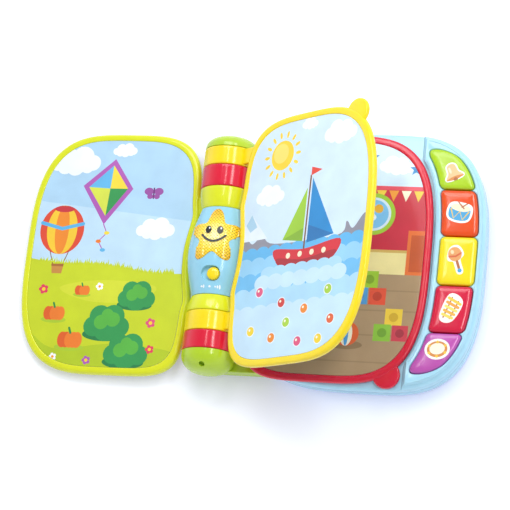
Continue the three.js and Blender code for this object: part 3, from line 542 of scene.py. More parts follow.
def slot_outline(scale):
    """The switch's stadium-shaped recess, scaled about its centre."""
    radius, half = SWITCH_W / 2, SWITCH_L / 2 - SWITCH_W / 2
    points = []
    for side in (1, -1):
        for a in np.linspace(-math.pi / 2, math.pi / 2, 20):
            x, y = half + radius * math.cos(a), radius * math.sin(a)
            points.append((side * x * scale, SWITCH_Y + side * y * scale))
    return points


recess = Builder()
recess.loft([[(x, y, z) for x, y in slot_outline(scale)] for scale, z in (
    (0.93, RECESS_FLOOR), (0.97, RECESS_FLOOR + 0.3), (1.0, RECESS_FLOOR + 1.0),
    (1.0, CREST - 0.9), (1.05, CREST + 0.2), (1.12, CREST + 6))])
cut(window_piece, recess.finish("recess", GREY))
settle(window_piece, "base", "blue_plastic", "spine_housing")

knob = Builder()
knob_top = CREST + KNOB_PROUD
knob.loft(disc_rings(KNOB_X, SWITCH_Y, [
    (KNOB_R, RECESS_FLOOR + GAP), (KNOB_R, knob_top - 1.6), (KNOB_R - 0.25, knob_top - 0.9),
    (KNOB_R - 0.8, knob_top - 0.35), (KNOB_R - 1.8, knob_top), (KNOB_R * 0.3, knob_top + 0.18)]))
settle(knob.finish("switch_knob", YELLOW), "slide_knob", "yellow_plastic", "slide_knob")
print("window crest at %.1f mm" % CREST)

# %% End caps and their tongues
def cap_profile(start, length):
    """A domed cap's (radius, y) section: a short bevel and then a superellipse to the pole."""
    side = math.copysign(1, length)
    begin, reach = start + side * GAP / 2, length - side * GAP / 2
    profile = [(0.0, begin), (SPINE_R - 0.6, begin), (SPINE_R - 0.15, begin + side * 0.2)]
    for a in np.linspace(0.16, math.pi / 2, 22)[:-1]:
        radius = SPINE_R * math.cos(a) ** (2 / CAP_POWER)
        profile.append((radius, start + reach * math.sin(a) ** (2 / CAP_POWER)))
    return profile + [(0.0, start + reach)]


def tongue_ring(centre, half_width, z):
    ends = ((TONGUE_START, -1), (TONGUE_END, -1), (TONGUE_END, 1), (TONGUE_START, 1))
    return [(x, centre + side * half_width, z - AXIS_Z) for x, side in ends]


for cap, start, length, tongue_y in (("top", RINGS_TOP, CAP_TOP_L, TONGUE_TOP_Y),
                                     ("bottom", RINGS_BOTTOM, -CAP_BOTTOM_L, TONGUE_BOTTOM_Y)):
    build = Builder(on_spine)
    build.spin(cap_profile(start, length))
    piece = build.finish("cap_" + cap, CAP_LIME)
    slim = TONGUE_W - TONGUE_BEVEL
    tongue = Builder(on_spine)
    tongue.loft([tongue_ring(tongue_y, half_width, z) for half_width, z in (
        (slim, TONGUE_LOW), (TONGUE_W, TONGUE_LOW + TONGUE_BEVEL),
        (TONGUE_W, TONGUE_HIGH - TONGUE_BEVEL), (slim, TONGUE_HIGH))])
    settle(tongue.finish("cap_tongue_" + cap, CAP_LIME), "base", "lime_plastic")
    if cap == "bottom":
        y, z = start + length * HOLE_ALONG, AXIS_Z + SPINE_R * HOLE_UP
        c, s = math.cos(HOLE_LEAN), math.sin(HOLE_LEAN)
        hole = Builder()
        mouth = circle(0, 0, HOLE_R, steps=24)
        hole.loft([[(u, y + v * c - along * s, z + v * s + along * c) for u, v in mouth]
                   for along in (-5.0, 5.0)])
        cut(piece, hole.finish("cap_hole", GREY))
    settle(piece, "base", "lime_plastic", "spine_end_cap_" + cap)
    print("cap", cap, "faces:", len(piece.data.polygons))

# %% [markdown]
# ## The star lens
# The star is a moulded clear amber lens over a lamp. Rows of small square pyramids on its face
# scatter the light. Geometry Nodes repeat one pyramid on a grid of points over the star, each
# turned to the window's curve. A printed face of two eyes and a smile lies on top. The lens has a
# painted glow: its colour is lighter towards the centre and it gives off a little light itself,
# though no lamp is lit.

# %% Star lens
PITCH, FACET_EDGE, FACET_W, FACET_H = 2.9, 2.2, 2.5, 0.6


def star_reach(angle):
    return STAR_WAIST + (STAR_R - STAR_WAIST) * ((1 + math.cos(5 * angle)) / 2) ** STAR_POWER


def star_point(angle, reach):
    radius = spine_radius(STAR_Y)
    return radius * math.sin(-reach * math.sin(angle) / radius), STAR_Y + reach * math.cos(angle)


def on_window(x, y, proud):
    r = spine_radius(y) + proud
    return (x, y, math.sqrt(max(r * r - x * x, 1.0)))


def lens_material_painted_glow():
    material, tree, shader, mm = new_material("moulded_amber_polycarbonate_painted_glow")
    offset = add(tree, "ShaderNodeVectorMath", {0: mm, 1: (0, -STAR_Y, 0)}, operation="ADD").outputs[0]
    split = add(tree, "ShaderNodeSeparateXYZ", {0: offset})
    flat = add(tree, "ShaderNodeCombineXYZ", {0: split.outputs[0], 1: split.outputs[1]}).outputs[0]
    away = add(tree, "ShaderNodeVectorMath", {0: flat}, operation="LENGTH").outputs["Value"]
    share = add(tree, "ShaderNodeMath", {0: away, 1: 26.0}, operation="DIVIDE")
    # Painted glow: the colour runs from pale at the star's centre to deep amber at its points.
    ramp = add(tree, "ShaderNodeValToRGB", {"Fac": share.outputs[0]})
    ramp.color_ramp.elements[0].color = linear("#fff6ac")
    ramp.color_ramp.elements[1].color = linear("#d9a316")
    ramp.color_ramp.elements.new(0.5).color = linear("#fbd63a")
    tiles = []
    for i in (0, 1):
        turns = {0: split.outputs[i], 1: 2 * math.pi / PITCH}
        stripe = add(tree, "ShaderNodeMath", turns, operation="MULTIPLY")
        tiles.append(add(tree, "ShaderNodeMath", {0: stripe.outputs[0]}, operation="SINE").outputs[0])
    mixed = add(tree, "ShaderNodeMath", {0: tiles[0], 1: tiles[1]}, operation="MULTIPLY").outputs[0]
    contrast = {"Value": mixed, "From Min": -0.5, "From Max": 0.5, "To Min": 0.62, "To Max": 1.2}
    value = add(tree, "ShaderNodeMapRange", contrast).outputs[0]
    colour = add(tree, "ShaderNodeHueSaturation", {"Color": ramp.outputs[0], "Value": value}).outputs[0]
    tree.links.new(colour, shader.inputs["Base Color"])
    tree.links.new(patches(tree, mm, 4.0, 0.08, 0.16), shader.inputs["Roughness"])
    # Painted glow: the lens gives off a little light in its own colour, though no lamp lights it.
    tree.links.new(colour, shader.inputs["Emission Color"])
    shader.inputs["Emission Strength"].default_value = 0.2
    shader.inputs["IOR"].default_value = 1.58
    shader.inputs["Subsurface Weight"].default_value = 0.25
    shader.inputs["Subsurface Scale"].default_value = 0.002
    return material


print("star: %.1f mm to a point, %.1f to a waist" % (star_reach(0), star_reach(math.pi / 5)))

# %% The lens and its grid of points
AMBER = lens_material_painted_glow()
star = Builder(on_spine)
rings = []
edge_steps = [(1.0, -0.6), (1.0, 0.35), (0.985, 0.65), (0.955, 0.82)]
for s, proud in edge_steps + [(s, STAR_PROUD) for s in (0.9, 0.75, 0.6, 0.45, 0.3, 0.15, 0.03)]:
    ring = []
    for a in around(200):
        x, y = star_point(a, star_reach(a) * s)
        ring.append(on_window(x, y, proud))
    rings.append(ring)
star.loft(rings)
settle(star.finish("star_lens_body", AMBER), "base", "amber_lens", "star_lens")

points, facing = [], []
for i in range(-10, 11):
    for j in range(-10, 11):
        x, y = i * PITCH, j * PITCH
        a = math.atan2(-x, y)
        if math.hypot(x, y) < star_reach(a) - FACET_EDGE:
            p = on_window(x, STAR_Y + y, STAR_PROUD - 0.02)
            points.append(on_spine(p))
            facing.append((p[0], 0.0, p[2]))
grid = bpy.data.meshes.new("star_grid")
grid.from_pydata([tuple(c * MM for c in p) for p in points], [], [])
attribute = grid.attributes.new("facing", "FLOAT_VECTOR", "POINT")
attribute.data.foreach_set("vector", [c for f in facing for c in f])
facets = link("star_facets", grid)

# %% Facets on the lens
def geometry_tree(name, inputs):
    """A node group with one geometry in and out, and named float inputs."""
    tree = bpy.data.node_groups.new(name, "GeometryNodeTree")
    tree.interface.new_socket("Geometry", in_out="INPUT", socket_type="NodeSocketGeometry")
    for label, value in inputs.items():
        socket = tree.interface.new_socket(label, in_out="INPUT", socket_type="NodeSocketFloat")
        socket.default_value = value
    tree.interface.new_socket("Geometry", in_out="OUTPUT", socket_type="NodeSocketGeometry")
    return tree, tree.nodes.new("NodeGroupInput"), tree.nodes.new("NodeGroupOutput")


def run_tree(piece, tree, values):
    """Runs the tree on a piece, keeps the result as its mesh and removes the modifier."""
    modifier = piece.modifiers.new(tree.name, "NODES")
    modifier.node_group = tree
    for item in tree.interface.items_tree:
        if item.in_out == "INPUT" and item.name in values:
            modifier[item.identifier] = values[item.name]
    graph = bpy.context.evaluated_depsgraph_get()
    mesh = bpy.data.meshes.new_from_object(piece.evaluated_get(graph))
    piece.modifiers.clear()
    piece.data = mesh


FACET = {"Facet width": FACET_W * MM, "Facet height": FACET_H * MM}
tree, entry, leave = geometry_tree("square_facets", FACET)
sides = {0: entry.outputs["Facet width"], 1: math.sqrt(0.5)}
corner = add(tree, "ShaderNodeMath", sides, operation="MULTIPLY").outputs[0]
pyramid = {"Radius Bottom": corner, "Depth": entry.outputs["Facet height"], "Radius Top": 0.0, "Vertices": 4}
cone = add(tree, "GeometryNodeMeshCone", pyramid).outputs["Mesh"]
squared = add(tree, "GeometryNodeTransform", {"Geometry": cone, "Rotation": (0, 0, math.pi / 4)}).outputs[0]
named = add(tree, "GeometryNodeInputNamedAttribute", {"Name": "facing"}, data_type="FLOAT_VECTOR")
aim = add(tree, "FunctionNodeAlignRotationToVector", {"Vector": named.outputs[0]}, axis="Z", pivot_axis="Y")
grid_in = {"Points": entry.outputs["Geometry"], "Instance": squared, "Rotation": aim.outputs[0]}
placed = add(tree, "GeometryNodeInstanceOnPoints", grid_in)
solid = add(tree, "GeometryNodeRealizeInstances", {"Geometry": placed.outputs[0]})
dressed = add(tree, "GeometryNodeSetMaterial", {"Geometry": solid.outputs[0], "Material": AMBER})
tree.links.new(dressed.outputs[0], leave.inputs[0])
run_tree(facets, tree, FACET)
settle(facets, "base", "amber_lens")
print("star facets:", len(points))

# %% Face and switch marks
DARK = ink("#02060c")
WHITE = ink("#f8fbfc")


def wrap_print(name, outline, material, body="base", slot="printed_card", proud=1.45):
    """A small printed field that follows the window's curve."""
    build = Builder(on_spine)
    build.loft([[on_window(x, y, p) for x, y in outline] for p in (proud - 0.12, proud)])
    return settle(build.finish(name, material), body, slot)


def band(points, width):
    """A closed outline round an open line of a given width, with round ends."""
    points = [np.array(p, float) for p in points]
    left, right = [], []
    for i, p in enumerate(points):
        along = points[min(i + 1, len(points) - 1)] - points[max(i - 1, 0)]
        across = np.array([-along[1], along[0]]) / (np.hypot(*along) or 1) * width / 2
        left.append(p + across)
        right.append(p - across)

    def end(p, towards):
        start = math.atan2(*(towards - p)[::-1])
        return [p + width / 2 * np.array([math.cos(start - a), math.sin(start - a)])
                for a in np.linspace(0, math.pi, 7)[1:-1]]
    return [tuple(p) for p in left + end(points[-1], left[-1]) + right[::-1] + end(points[0], right[0])]


for label, sx in (("left", -1), ("right", 1)):
    wrap_print("star_eye_" + label, circle(sx * 5.2, 12.4, 2.7, 3.6), DARK, proud=1.75)
    wrap_print("star_eye_glint_" + label, circle(sx * 5.2 + 0.8, 13.9, 0.75, 0.95), WHITE, proud=1.88)
smile = [(x, 7.6 - 5.8 * (1 - (x / 10.5) ** 2)) for x in np.linspace(-10.5, 10.5, 25)]
wrap_print("star_smile", band(smile, 1.9)[::-1], DARK, proud=1.75)
MARK_Y = -37.3
MARKS = ((-7.4, 1.5, 1.2), (-5.4, 1.0, 2.4), (0.0, 1.5, 1.5),
         (5.0, 1.0, 1.2), (6.9, 1.0, 2.2), (8.8, 1.0, 3.2))
for i, (x, w, h) in enumerate(MARKS):
    wrap_print("switch_mark_%d" % (i + 1), circle(x, MARK_Y, w * 0.7, h * 0.6, steps=16), WHITE, proud=0.1)
print("switch marks:", len(MARKS))

# %% [markdown]
# ## The base
# The base is two shells that meet at a parting line. The upper one has a low deck under the pages
# and a raised console along the outer edge, with a ramp at each end and a well for each key. It is
# built as a stack of outlines, and the wells are cut out of it with flared edges.

# %% Key outlines
def key_side_left(y):
    reach = max(1 - (abs(y) / (LEAF_H + KEY_LEFT)) ** LEAF_OUT_POWER, 0) ** (1 / LEAF_OUT_POWER)
    return LEAF_X + (LEAF_W + KEY_LEFT) * reach


def key_side_right(y):
    reach = max(1 - (abs(y) / (BASE_H - KEY_RIGHT)) ** BASE_POWER, 0) ** (1 / BASE_POWER)
    return BASE_X + (BASE_W - KEY_RIGHT) * reach


KEYS = {"lime": (64, 101, 4.5, 9), "orange": (22, 64, 4.5, 4.5), "yellow": (-22, 22, 4.5, 4.5),
        "red": (-64, -22, 4.5, 4.5), "purple": (-101, -64, 9, 4.5)}


def key_outline(name, grow=0.0):
    low, high, low_corner, high_corner = KEYS[name]
    low, high = low + KEY_GAP / 2 - grow, high - KEY_GAP / 2 + grow
    low_corner, high_corner = max(low_corner + grow, 0.3), max(high_corner + grow, 0.3)
    rows = []
    for a in np.linspace(0, math.pi / 2, 8):
        rows.append((low + low_corner * (1 - math.cos(a)), low_corner * (1 - math.sin(a))))
    rows += [(y, 0.0) for y in np.linspace(low + low_corner, high - high_corner, 8)[1:-1]]
    for a in np.linspace(math.pi / 2, 0, 8):
        rows.append((high - high_corner * (1 - math.cos(a)), high_corner * (1 - math.sin(a))))
    right_side = [(key_side_right(y) - inset + grow, y) for y, inset in rows]
    left_side = [(key_side_left(y) + inset - grow, y) for y, inset in rows]
    return right_side + left_side[::-1]


print("keys:", ", ".join(KEYS))

# %% Deck
deck = Builder()
deck.stack(base_outline, [
    (1.2, PARTING_Z + GAP / 2), (0.2, PARTING_Z + 0.5), (0, PARTING_Z + 1.2), (0, DECK_Z - 2.2),
    (0.35, DECK_Z - 1.2), (1.1, DECK_Z - 0.4), (2.2, DECK_Z)])
deck_piece = deck.finish("base_deck", BLUE)
barrel = Builder(on_spine)
foot, head = WINDOW_BOTTOM - 6, WINDOW_TOP + 6
barrel_heights = np.concatenate([[foot], np.linspace(WINDOW_BOTTOM, WINDOW_TOP, 25), [head]])
barrel_side = [(spine_radius(y) + 0.4, y) for y in barrel_heights]
barrel.spin([(0.0, foot)] + barrel_side + [(0.0, head)], steps=72)
cut(deck_piece, barrel.finish("barrel", GREY))
print("deck faces:", len(deck_piece.data.polygons))

# %% Console with its wells
console = Builder()
shoulder = CONSOLE_Z - 4
console.stack(base_outline, [
    (0, DECK_Z - 3), (0, shoulder - 3), (0.25, shoulder - 1.6), (0.9, shoulder - 0.6),
    (2.0, shoulder + 0.1), (2.5, shoulder + 0.5), (2.7, shoulder + 1.2), (2.8, CONSOLE_Z - 1.6),
    (3.1, CONSOLE_Z - 0.7), (3.6, CONSOLE_Z - 0.2), (4.6, CONSOLE_Z)])
console_piece = console.finish("base_console", BLUE)
well = Builder()
well.stack(leaf_outline, [(-CONSOLE_LIP - flare, z) for flare, z in (
    (0, DECK_Z - 5), (0, CONSOLE_Z - 1.8), (0.25, CONSOLE_Z - 0.9),
    (0.9, CONSOLE_Z - 0.25), (1.9, CONSOLE_Z + 0.02), (3, CONSOLE_Z + 2))])
ramp = Builder()
top_z = CONSOLE_Z + 2
run = CONSOLE_RAMP * (top_z - DECK_Z) / (CONSOLE_Z - DECK_Z)
ramp_side = ((-5, DECK_Z - 6), (-5, top_z), (CONSOLE_START + run, top_z), (CONSOLE_START, DECK_Z),
             (CONSOLE_START, DECK_Z - 6))
ramp.loft([[(x, y, z) for x, z in ramp_side] for y in (-140, 140)])
wells = []
for key in KEYS:
    opening = Builder()
    opening.loft([[(x, y, z) for x, y in key_outline(key, grow)] for grow, z in (
        (0.5, DECK_Z - 1.0), (0.5, CONSOLE_Z - 1.0), (0.75, CONSOLE_Z - 0.4),
        (1.4, CONSOLE_Z + 0.05), (2.0, CONSOLE_Z + 1.5))])
    wells.append(opening.finish("well_" + key, GREY))
cut(console_piece, well.finish("page_well", GREY), ramp.finish("ramp", GREY))
for opening in wells:
    cut(console_piece, opening)
settle(deck_piece, "base", "blue_plastic")
settle(console_piece, "base", "blue_plastic", "base_top_shell")
print("console faces:", len(console_piece.data.polygons))

# %% Lower skirt
skirt = Builder()
skirt_profile = [(3.0, 1.35), (1.2, 1.9), (0.3, 3.0), (-0.05, 4.6),
                 (-0.05, PARTING_Z - 1.0), (0.4, PARTING_Z - 0.3), (1.2, PARTING_Z + 0.05)]
skirt.stack(base_outline, skirt_profile, low_cap=False, high_cap=False)
settle(skirt.finish("base_lower_skirt", BLUE), "base", "blue_plastic")
print("skirt steps:", len(skirt_profile))

# %% [markdown]
# A raised bead follows the console's outer edge and a second one the page well. Geometry Nodes
# sweep a small circle along each line, so one tree serves every such edge.

# %% Console beads
BEAD_R, BEAD_SINK = 0.75, 0.15
bead_tree, entry, leave = geometry_tree("swept_bead", {"Bead radius": BEAD_R * MM})
path = add(bead_tree, "GeometryNodeMeshToCurve", {"Mesh": entry.outputs["Geometry"]})
round_section = {"Resolution": 12, "Radius": entry.outputs["Bead radius"]}
ring = add(bead_tree, "GeometryNodeCurvePrimitiveCircle", round_section)
sweep = {"Curve": path.outputs[0], "Profile Curve": ring.outputs[0], "Fill Caps": True}
swept = add(bead_tree, "GeometryNodeCurveToMesh", sweep)
shaded = add(bead_tree, "GeometryNodeSetShadeSmooth", {"Geometry": swept.outputs[0]})
solid = add(bead_tree, "GeometryNodeRealizeInstances", {"Geometry": shaded.outputs[0]})
dressed = add(bead_tree, "GeometryNodeSetMaterial", {"Geometry": solid.outputs[0], "Material": BLUE})
bead_tree.links.new(dressed.outputs[0], leave.inputs[0])


def bead(name, line):
    mesh = bpy.data.meshes.new(name)
    edges = [(i, i + 1) for i in range(len(line) - 1)]
    mesh.from_pydata([tuple(c * MM for c in p) for p in line], edges, [])
    piece = link(name, mesh)
    run_tree(piece, bead_tree, {"Bead radius": BEAD_R * MM})
    settle(piece, "base", "blue_plastic")


def console_run(outline, inset, z):
    line = [(x, y, z) for x, y in outline(inset)]
    kept = [p for p in line if p[0] > CONSOLE_START + CONSOLE_RAMP + 1]
    return sorted(kept, key=lambda p: p[1])


BEADS = {"outer": (base_outline, 4.3), "inner": (leaf_outline, -4.2)}
for side, (outline, inset) in BEADS.items():
    bead("console_bead_" + side, console_run(outline, inset, CONSOLE_Z - BEAD_SINK))
print("beads:", ", ".join(BEADS))

# %% [markdown]
# ## Keys
# Each key has a soft bevel and a slightly crowned top. A die-cut sticker with
# a simple instrument lies on it.

# %% Keys
KEY_PROFILE = ((0, 23.7), (0, 28.0), (-0.15, 28.8), (-0.5, 29.5), (-1.1, 30.05),
               (-2.0, 30.4), (-3.2, 30.65), (-4.6, 30.82), (-6.2, 30.93), (-8.0, KEY_TOP_Z))
for key in KEYS:
    build = Builder()
    build.loft([[(x, y, z) for x, y in key_outline(key, grow)] for grow, z in KEY_PROFILE])
    settle(build.finish("key_cap_" + key, KEY_PLASTIC[key]), key + "_key", key + "_plastic", "key_" + key)

print("keys:", ", ".join(KEYS))

# %% [markdown]
# ## Printed shapes
# The artwork is flat colour. A constrained triangulation cuts the card's outline and all the shapes
# into one map, and each triangle takes the ink of the last shape drawn over it. So the colours meet
# edge to edge, as printed ones do, with no layers.

# %% Colour maps
def colour_map(outline, shapes):
    """Triangles of the outline, each with the ink of the topmost shape over it."""
    loops = [list(outline)] + [list(points) for _, points in shapes]
    verts, faces = [], []
    for loop in loops:
        area = sum(a[0] * b[1] - b[0] * a[1] for a, b in zip(loop, loop[1:] + loop[:1]))
        loop = loop if area > 0 else loop[::-1]
        faces.append(list(range(len(verts), len(verts) + len(loop))))
        verts += [Vector((float(x), float(y))) for x, y in loop]
    out_verts, _, out_faces, _, _, origins = delaunay_2d_cdt(verts, [], faces, 1, 1e-4)
    inks, tris, index = [], [], []
    for face, origin in zip(out_faces, origins):
        if 0 not in origin:
            continue
        top = max(origin)
        colour = shapes[top - 1][0] if top else "#ffffff"
        if colour not in inks:
            inks.append(colour)
        tris.append(tuple(face))
        index.append(inks.index(colour))
    used = sorted({i for tri in tris for i in tri})
    renumber = {old: new for new, old in enumerate(used)}
    kept = [tuple(renumber[i] for i in tri) for tri in tris]
    return [(out_verts[i].x, out_verts[i].y) for i in used], kept, index, inks


def printed_card(name, leaf_name, face, shapes, node):
    """A print with its artwork on the face that shows: 'high' or 'low' on the flat leaf."""
    leaf = LEAVES[leaf_name]
    low = leaf["low"] + RECESS - GAP - CARD_T
    if face == "high":
        low = leaf["low"] + leaf["t"] - RECESS + GAP
    high = low + CARD_T
    outline = leaf_outline(RIM + 0.15, 160)
    points, tris, index, inks = colour_map(outline, shapes)
    build = Builder(turned(leaf["angle"]))
    upper = face == "high"
    shown = high if upper else low
    build.add([(x, y, shown) for x, y in points], tris if upper else [t[::-1] for t in tris], index)
    paper = [[(x, y, z) for x, y in outline] for z in (low, high)]
    build.loft(paper, len(inks), low_cap=upper, high_cap=not upper)
    piece = build.finish(name, *[ink(c) for c in inks], SHADE_PAPER)
    return settle(piece, leaf_name, "printed_card", node)


def curve(points, steps=6):
    """A closed smooth line through points."""
    pts = [np.array(p, float) for p in points]
    out = []
    for i in range(len(pts)):
        a, b, c, d = pts[i - 1], pts[i], pts[(i + 1) % len(pts)], pts[(i + 2) % len(pts)]
        for t in np.linspace(0, 1, steps, endpoint=False):
            bend = (2 * a - 5 * b + 4 * c - d) * t ** 2 + (3 * b - a - 3 * c + d) * t ** 3
            out.append(0.5 * (2 * b + (c - a) * t + bend))
    return [tuple(p) for p in out]


def cloud(x, y, s, colour="#f5fafd"):
    return [(colour, circle(x + dx * s, y + dy * s, r * s, steps=20)) for dx, dy, r in
            ((-13, 0, 6), (-5, 4, 8.5), (6, 3, 8), (14, -1, 5.5), (0, -3, 7), (8, -3, 6), (-9, -3, 5))]


def bush(x, y, s):
    parts = [("#1d7f45", circle(x + 1.2 * s, y - 7.5 * s, 15 * s, 4.5 * s))]
    parts += [("#2f9a4e", circle(x + dx * s, y + dy * s, r * s, steps=20)) for dx, dy, r in
              ((-9, -2, 7), (9, -2, 7), (-4, 5, 8), (5, 5, 7.5), (0, -3, 9))]
    parts += [("#57b53e", circle(x + dx * s, y + dy * s, r * s, steps=16)) for dx, dy, r in
              ((-4, 3, 5), (4, 1, 5), (0, 6, 4.2))]
    return parts


def pumpkin(x, y, s):
    parts = [("#aecb27", circle(x, y - 6 * s, 12 * s, 3 * s))]
    parts += [("#e2601b" if i % 2 else "#f07d22", circle(x + dx * s, y, 4.2 * s, 6.4 * s, steps=20))
              for i, dx in enumerate((-6, 6, -3, 3, 0))]
    return parts + [("#2f8a3e", band([(x, y + 5.5 * s), (x + 1.5 * s, y + 9.5 * s)], 1.8 * s))]


def flower(x, y, s, petal, heart="#f7d42a"):
    parts = [(petal, circle(x + 3.1 * s * math.cos(a), y + 3.1 * s * math.sin(a), 2.1 * s, steps=12))
             for a in np.linspace(0, 2 * math.pi, 5, endpoint=False)]
    return parts + [(heart, circle(x, y, 1.9 * s, steps=12))]


print("colour map helpers ready")

# %% [markdown]
# ## The cover's picture
# A meadow under a summer sky: a striped hot-air balloon, a kite with a purple edge, round bushes,
# pumpkins and flowers. Grass tufts along the horizon are scattered by Geometry Nodes with a fixed
# seed.

# %% Cover picture
X0, X1, Y1 = 25.0, 190.0, 115.0


def field(low, high, colour):
    return (colour, [(X0, low), (X1, low), (X1, high), (X0, high)])


def horizon(x):
    return -17.0 + 9.0 * ((x - 60) / 120.0) + 1.5 * math.sin(x / 14.0)


cover_art = [field(-Y1, Y1, "#b0d5ee")]
cover_art += [("#c2e0f3", [(X0, 30), (X1, 48), (X1, -30), (X0, -30)])]
cover_art += cloud(150, 84, 1.25) + cloud(66, 22, 0.95) + cloud(104, 96, 0.6)
cover_art += [("#c9d618", [(X0, -Y1), (X1, -Y1)] + [(x, horizon(x)) for x in np.linspace(X1, X0, 40)])]
cover_art += [("#b4ca16", curve([(30, -92), (90, -84), (150, -90), (182, -70), (176, -115), (30, -115)]))]
cover_art += [("#d5dc2c", curve([(60, -30), (110, -26), (150, -34), (120, -46), (74, -44)]))]
# the kite
kite = [(112, 88), (140, 62), (116, 26), (92, 60)]
cover_art += [("#b25bb3", kite)]
inner_kite = [(113, 82), (134.5, 61), (115.5, 34), (97, 60)]
for i, colour in enumerate(("#62b7e6", "#d9e34a", "#2f9a4e", "#f6dc3c")):
    cover_art += [(colour, [inner_kite[i], inner_kite[(i + 1) % 4], (114, 60)])]
cover_art += [("#b25bb3", band([(116, 26), (112, 18), (119, 10), (114, 2)], 1.0))]
for colour, x, y in (("#f6dc3c", 112, 18), ("#f07d22", 119, 10), ("#62b7e6", 114, 2)):
    cover_art += [(colour, circle(x, y, 2.6, 1.7, steps=14))]
# the balloon
bx, by = 155.0, 20.0
cover_art += [("#e24a2c", circle(bx, by, 21, 23, steps=48)), ("#f6c92f", circle(bx, by, 14.5, 23, steps=40)),
              ("#f08a24", circle(bx, by, 6.5, 23, steps=36)),
              ("#c8303a", circle(bx, by + 19.6, 9.5, 3.0, steps=24)),
              ("#5bb4e4", band([(bx - 19.6, by + 6), (bx, by + 1), (bx + 19.6, by + 6)], 3.4)),
              ("#8a5a34", band([(bx - 9, by - 20), (bx - 4.5, by - 33)], 0.8)),
              ("#8a5a34", band([(bx + 9, by - 20), (bx + 4.5, by - 33)], 0.8)),
              ("#c98b3e", [(bx - 6, by - 32), (bx + 6, by - 32), (bx + 4.6, by - 41), (bx - 4.6, by - 41)]),
              ("#a86a2c", [(bx - 6, by - 32), (bx + 6, by - 32),
                           (bx + 5.7, by - 34.4), (bx - 5.7, by - 34.4)])]
# a purple butterfly
for sx in (-1, 1):
    cover_art += [("#9b4fa0", circle(72 + sx * 4.6, 58, 4.4, 3.5, steps=20))]
    cover_art += [("#9b4fa0", circle(72 + sx * 3.2, 53.4, 2.8, 2.6, steps=16))]
cover_art += [("#6d2f78", band([(72, 61), (72, 51.5)], 1.4))]
cover_art += bush(76, -40, 1.1) + bush(101, -66, 1.35) + bush(80, -91, 1.3)
cover_art += pumpkin(152, -58, 1.0) + pumpkin(134, -82, 1.15) + pumpkin(128, -36, 0.7)
cover_art += flower(165, -36, 0.9, "#e23c5a") + flower(60, -64, 0.9, "#e0527c")
cover_art += flower(58, -88, 0.8, "#e23c5a")
cover_art += flower(116, -100, 0.8, "#b25bb3")
cover_art += flower(112, -32, 0.7, "#ffffff", "#f7a62a") + flower(148, -98, 0.7, "#ffffff", "#f7a62a")
printed_card("cover_inner_card", "cover", "low", cover_art, "cover_inner_print")

BLADE = {"Blade height": 5.0 * MM, "Blade width": 1.1 * MM}
tree, entry, leave = geometry_tree("grass_tufts", BLADE)
spike = {"Vertices": 3, "Radius Bottom": entry.outputs["Blade width"], "Depth": entry.outputs["Blade height"]}
blade = add(tree, "GeometryNodeMeshCone", spike).outputs["Mesh"]
thin = add(tree, "GeometryNodeTransform", {"Geometry": blade, "Scale": (1, 0.06, 1)}).outputs[0]
lying = add(tree, "GeometryNodeTransform", {"Geometry": thin, "Rotation": (-math.pi / 2, 0, 0)}).outputs[0]
sizes = {"Min": (0.8, 0.4, 1.0), "Max": (1.2, 1.3, 1.0), "Seed": 7}
tall = add(tree, "FunctionNodeRandomValue", sizes, data_type="FLOAT_VECTOR")
leans = {"Min": (0, 0, -0.45), "Max": (0, 0, 0.45), "Seed": 11}
lean = add(tree, "FunctionNodeRandomValue", leans, data_type="FLOAT_VECTOR")
tufts = {"Points": entry.outputs["Geometry"], "Instance": lying, "Rotation": lean.outputs[0],
         "Scale": tall.outputs[0]}
placed = add(tree, "GeometryNodeInstanceOnPoints", tufts)
solid = add(tree, "GeometryNodeRealizeInstances", {"Geometry": placed.outputs[0]})
printed = {"Geometry": solid.outputs[0], "Material": ink("#c9d618")}
tree.links.new(add(tree, "GeometryNodeSetMaterial", printed).outputs[0], leave.inputs[0])
tuft_points = [(x * MM, horizon(x) * MM, 0.0) for x in np.arange(44, 172, 1.25)]
grass_mesh = bpy.data.meshes.new("cover_grass")
grass_mesh.from_pydata(tuft_points, [], [])
grass = link("cover_grass", grass_mesh)
run_tree(grass, tree, BLADE)
put = turned(LEAVES["cover"]["angle"])
shown = COVER_LOW + RECESS - GAP - CARD_T - 0.05
for v in grass.data.vertices:
    v.co = Vector(tuple(c * MM for c in put((v.co.x / MM, v.co.y / MM, shown + v.co.z / MM))))
settle(grass, "cover", "printed_card")
print("tufts:", len(tuft_points))

# %% [markdown]
# ## The yellow page's picture
# A lake with a sailing boat, a plain sun, far mountains and scalloped waves.

# %% Yellow page picture
lake = [field(-Y1, Y1, "#d2e7f7")]
lake += cloud(142, 86, 1.0) + cloud(64, 40, 0.9) + cloud(104, 100, 0.5)
sun = (74.0, 76.0)
for a in around(14):
    x, y = sun[0] + 19 * math.cos(a), sun[1] + 19 * math.sin(a)
    lake += [("#f9d52b", circle(x, y, 3.2, 1.5, steps=14, turned=a))]
lake += [("#f9d52b", circle(*sun, 13.5, steps=40)), ("#fbe36a", circle(sun[0] - 2, sun[1] + 2, 9, steps=30))]
lake += [("#8d8c98", curve([(20, -6), (36, 8), (48, -1), (60, 5), (76, -4), (150, -6), (160, 5),
                            (168, -2), (182, 10), (196, -8), (120, -24)]))]
lake += [("#e5f0f8", [(X0, 2), (44, 26), (66, 2)]), ("#a9cfe6", [(44, 26), (52, 14), (44, 10), (38, 17)])]
lake += [("#5fb4e6", [(X0, -Y1), (X1, -Y1), (X1, -8), (X0, -8)])]
WAVES = ((-12, 14, 9, "#5fb4e6"), (-22, 16, 10, "#96cff0"), (-36, 15, 10, "#6fbcea"),
         (-50, 17, 11, "#aedaf3"), (-66, 16, 11, "#c8e5f7"))
for row, (y, step, r, colour) in enumerate(WAVES):
    shift = (row % 2) * step / 2
    lake += [(colour, circle(x + shift, y, r, r * 0.8, steps=24)) for x in np.arange(34, 196, step)]
    lake += [(colour, [(X0, -Y1), (X1, -Y1), (X1, y), (X0, y)])]
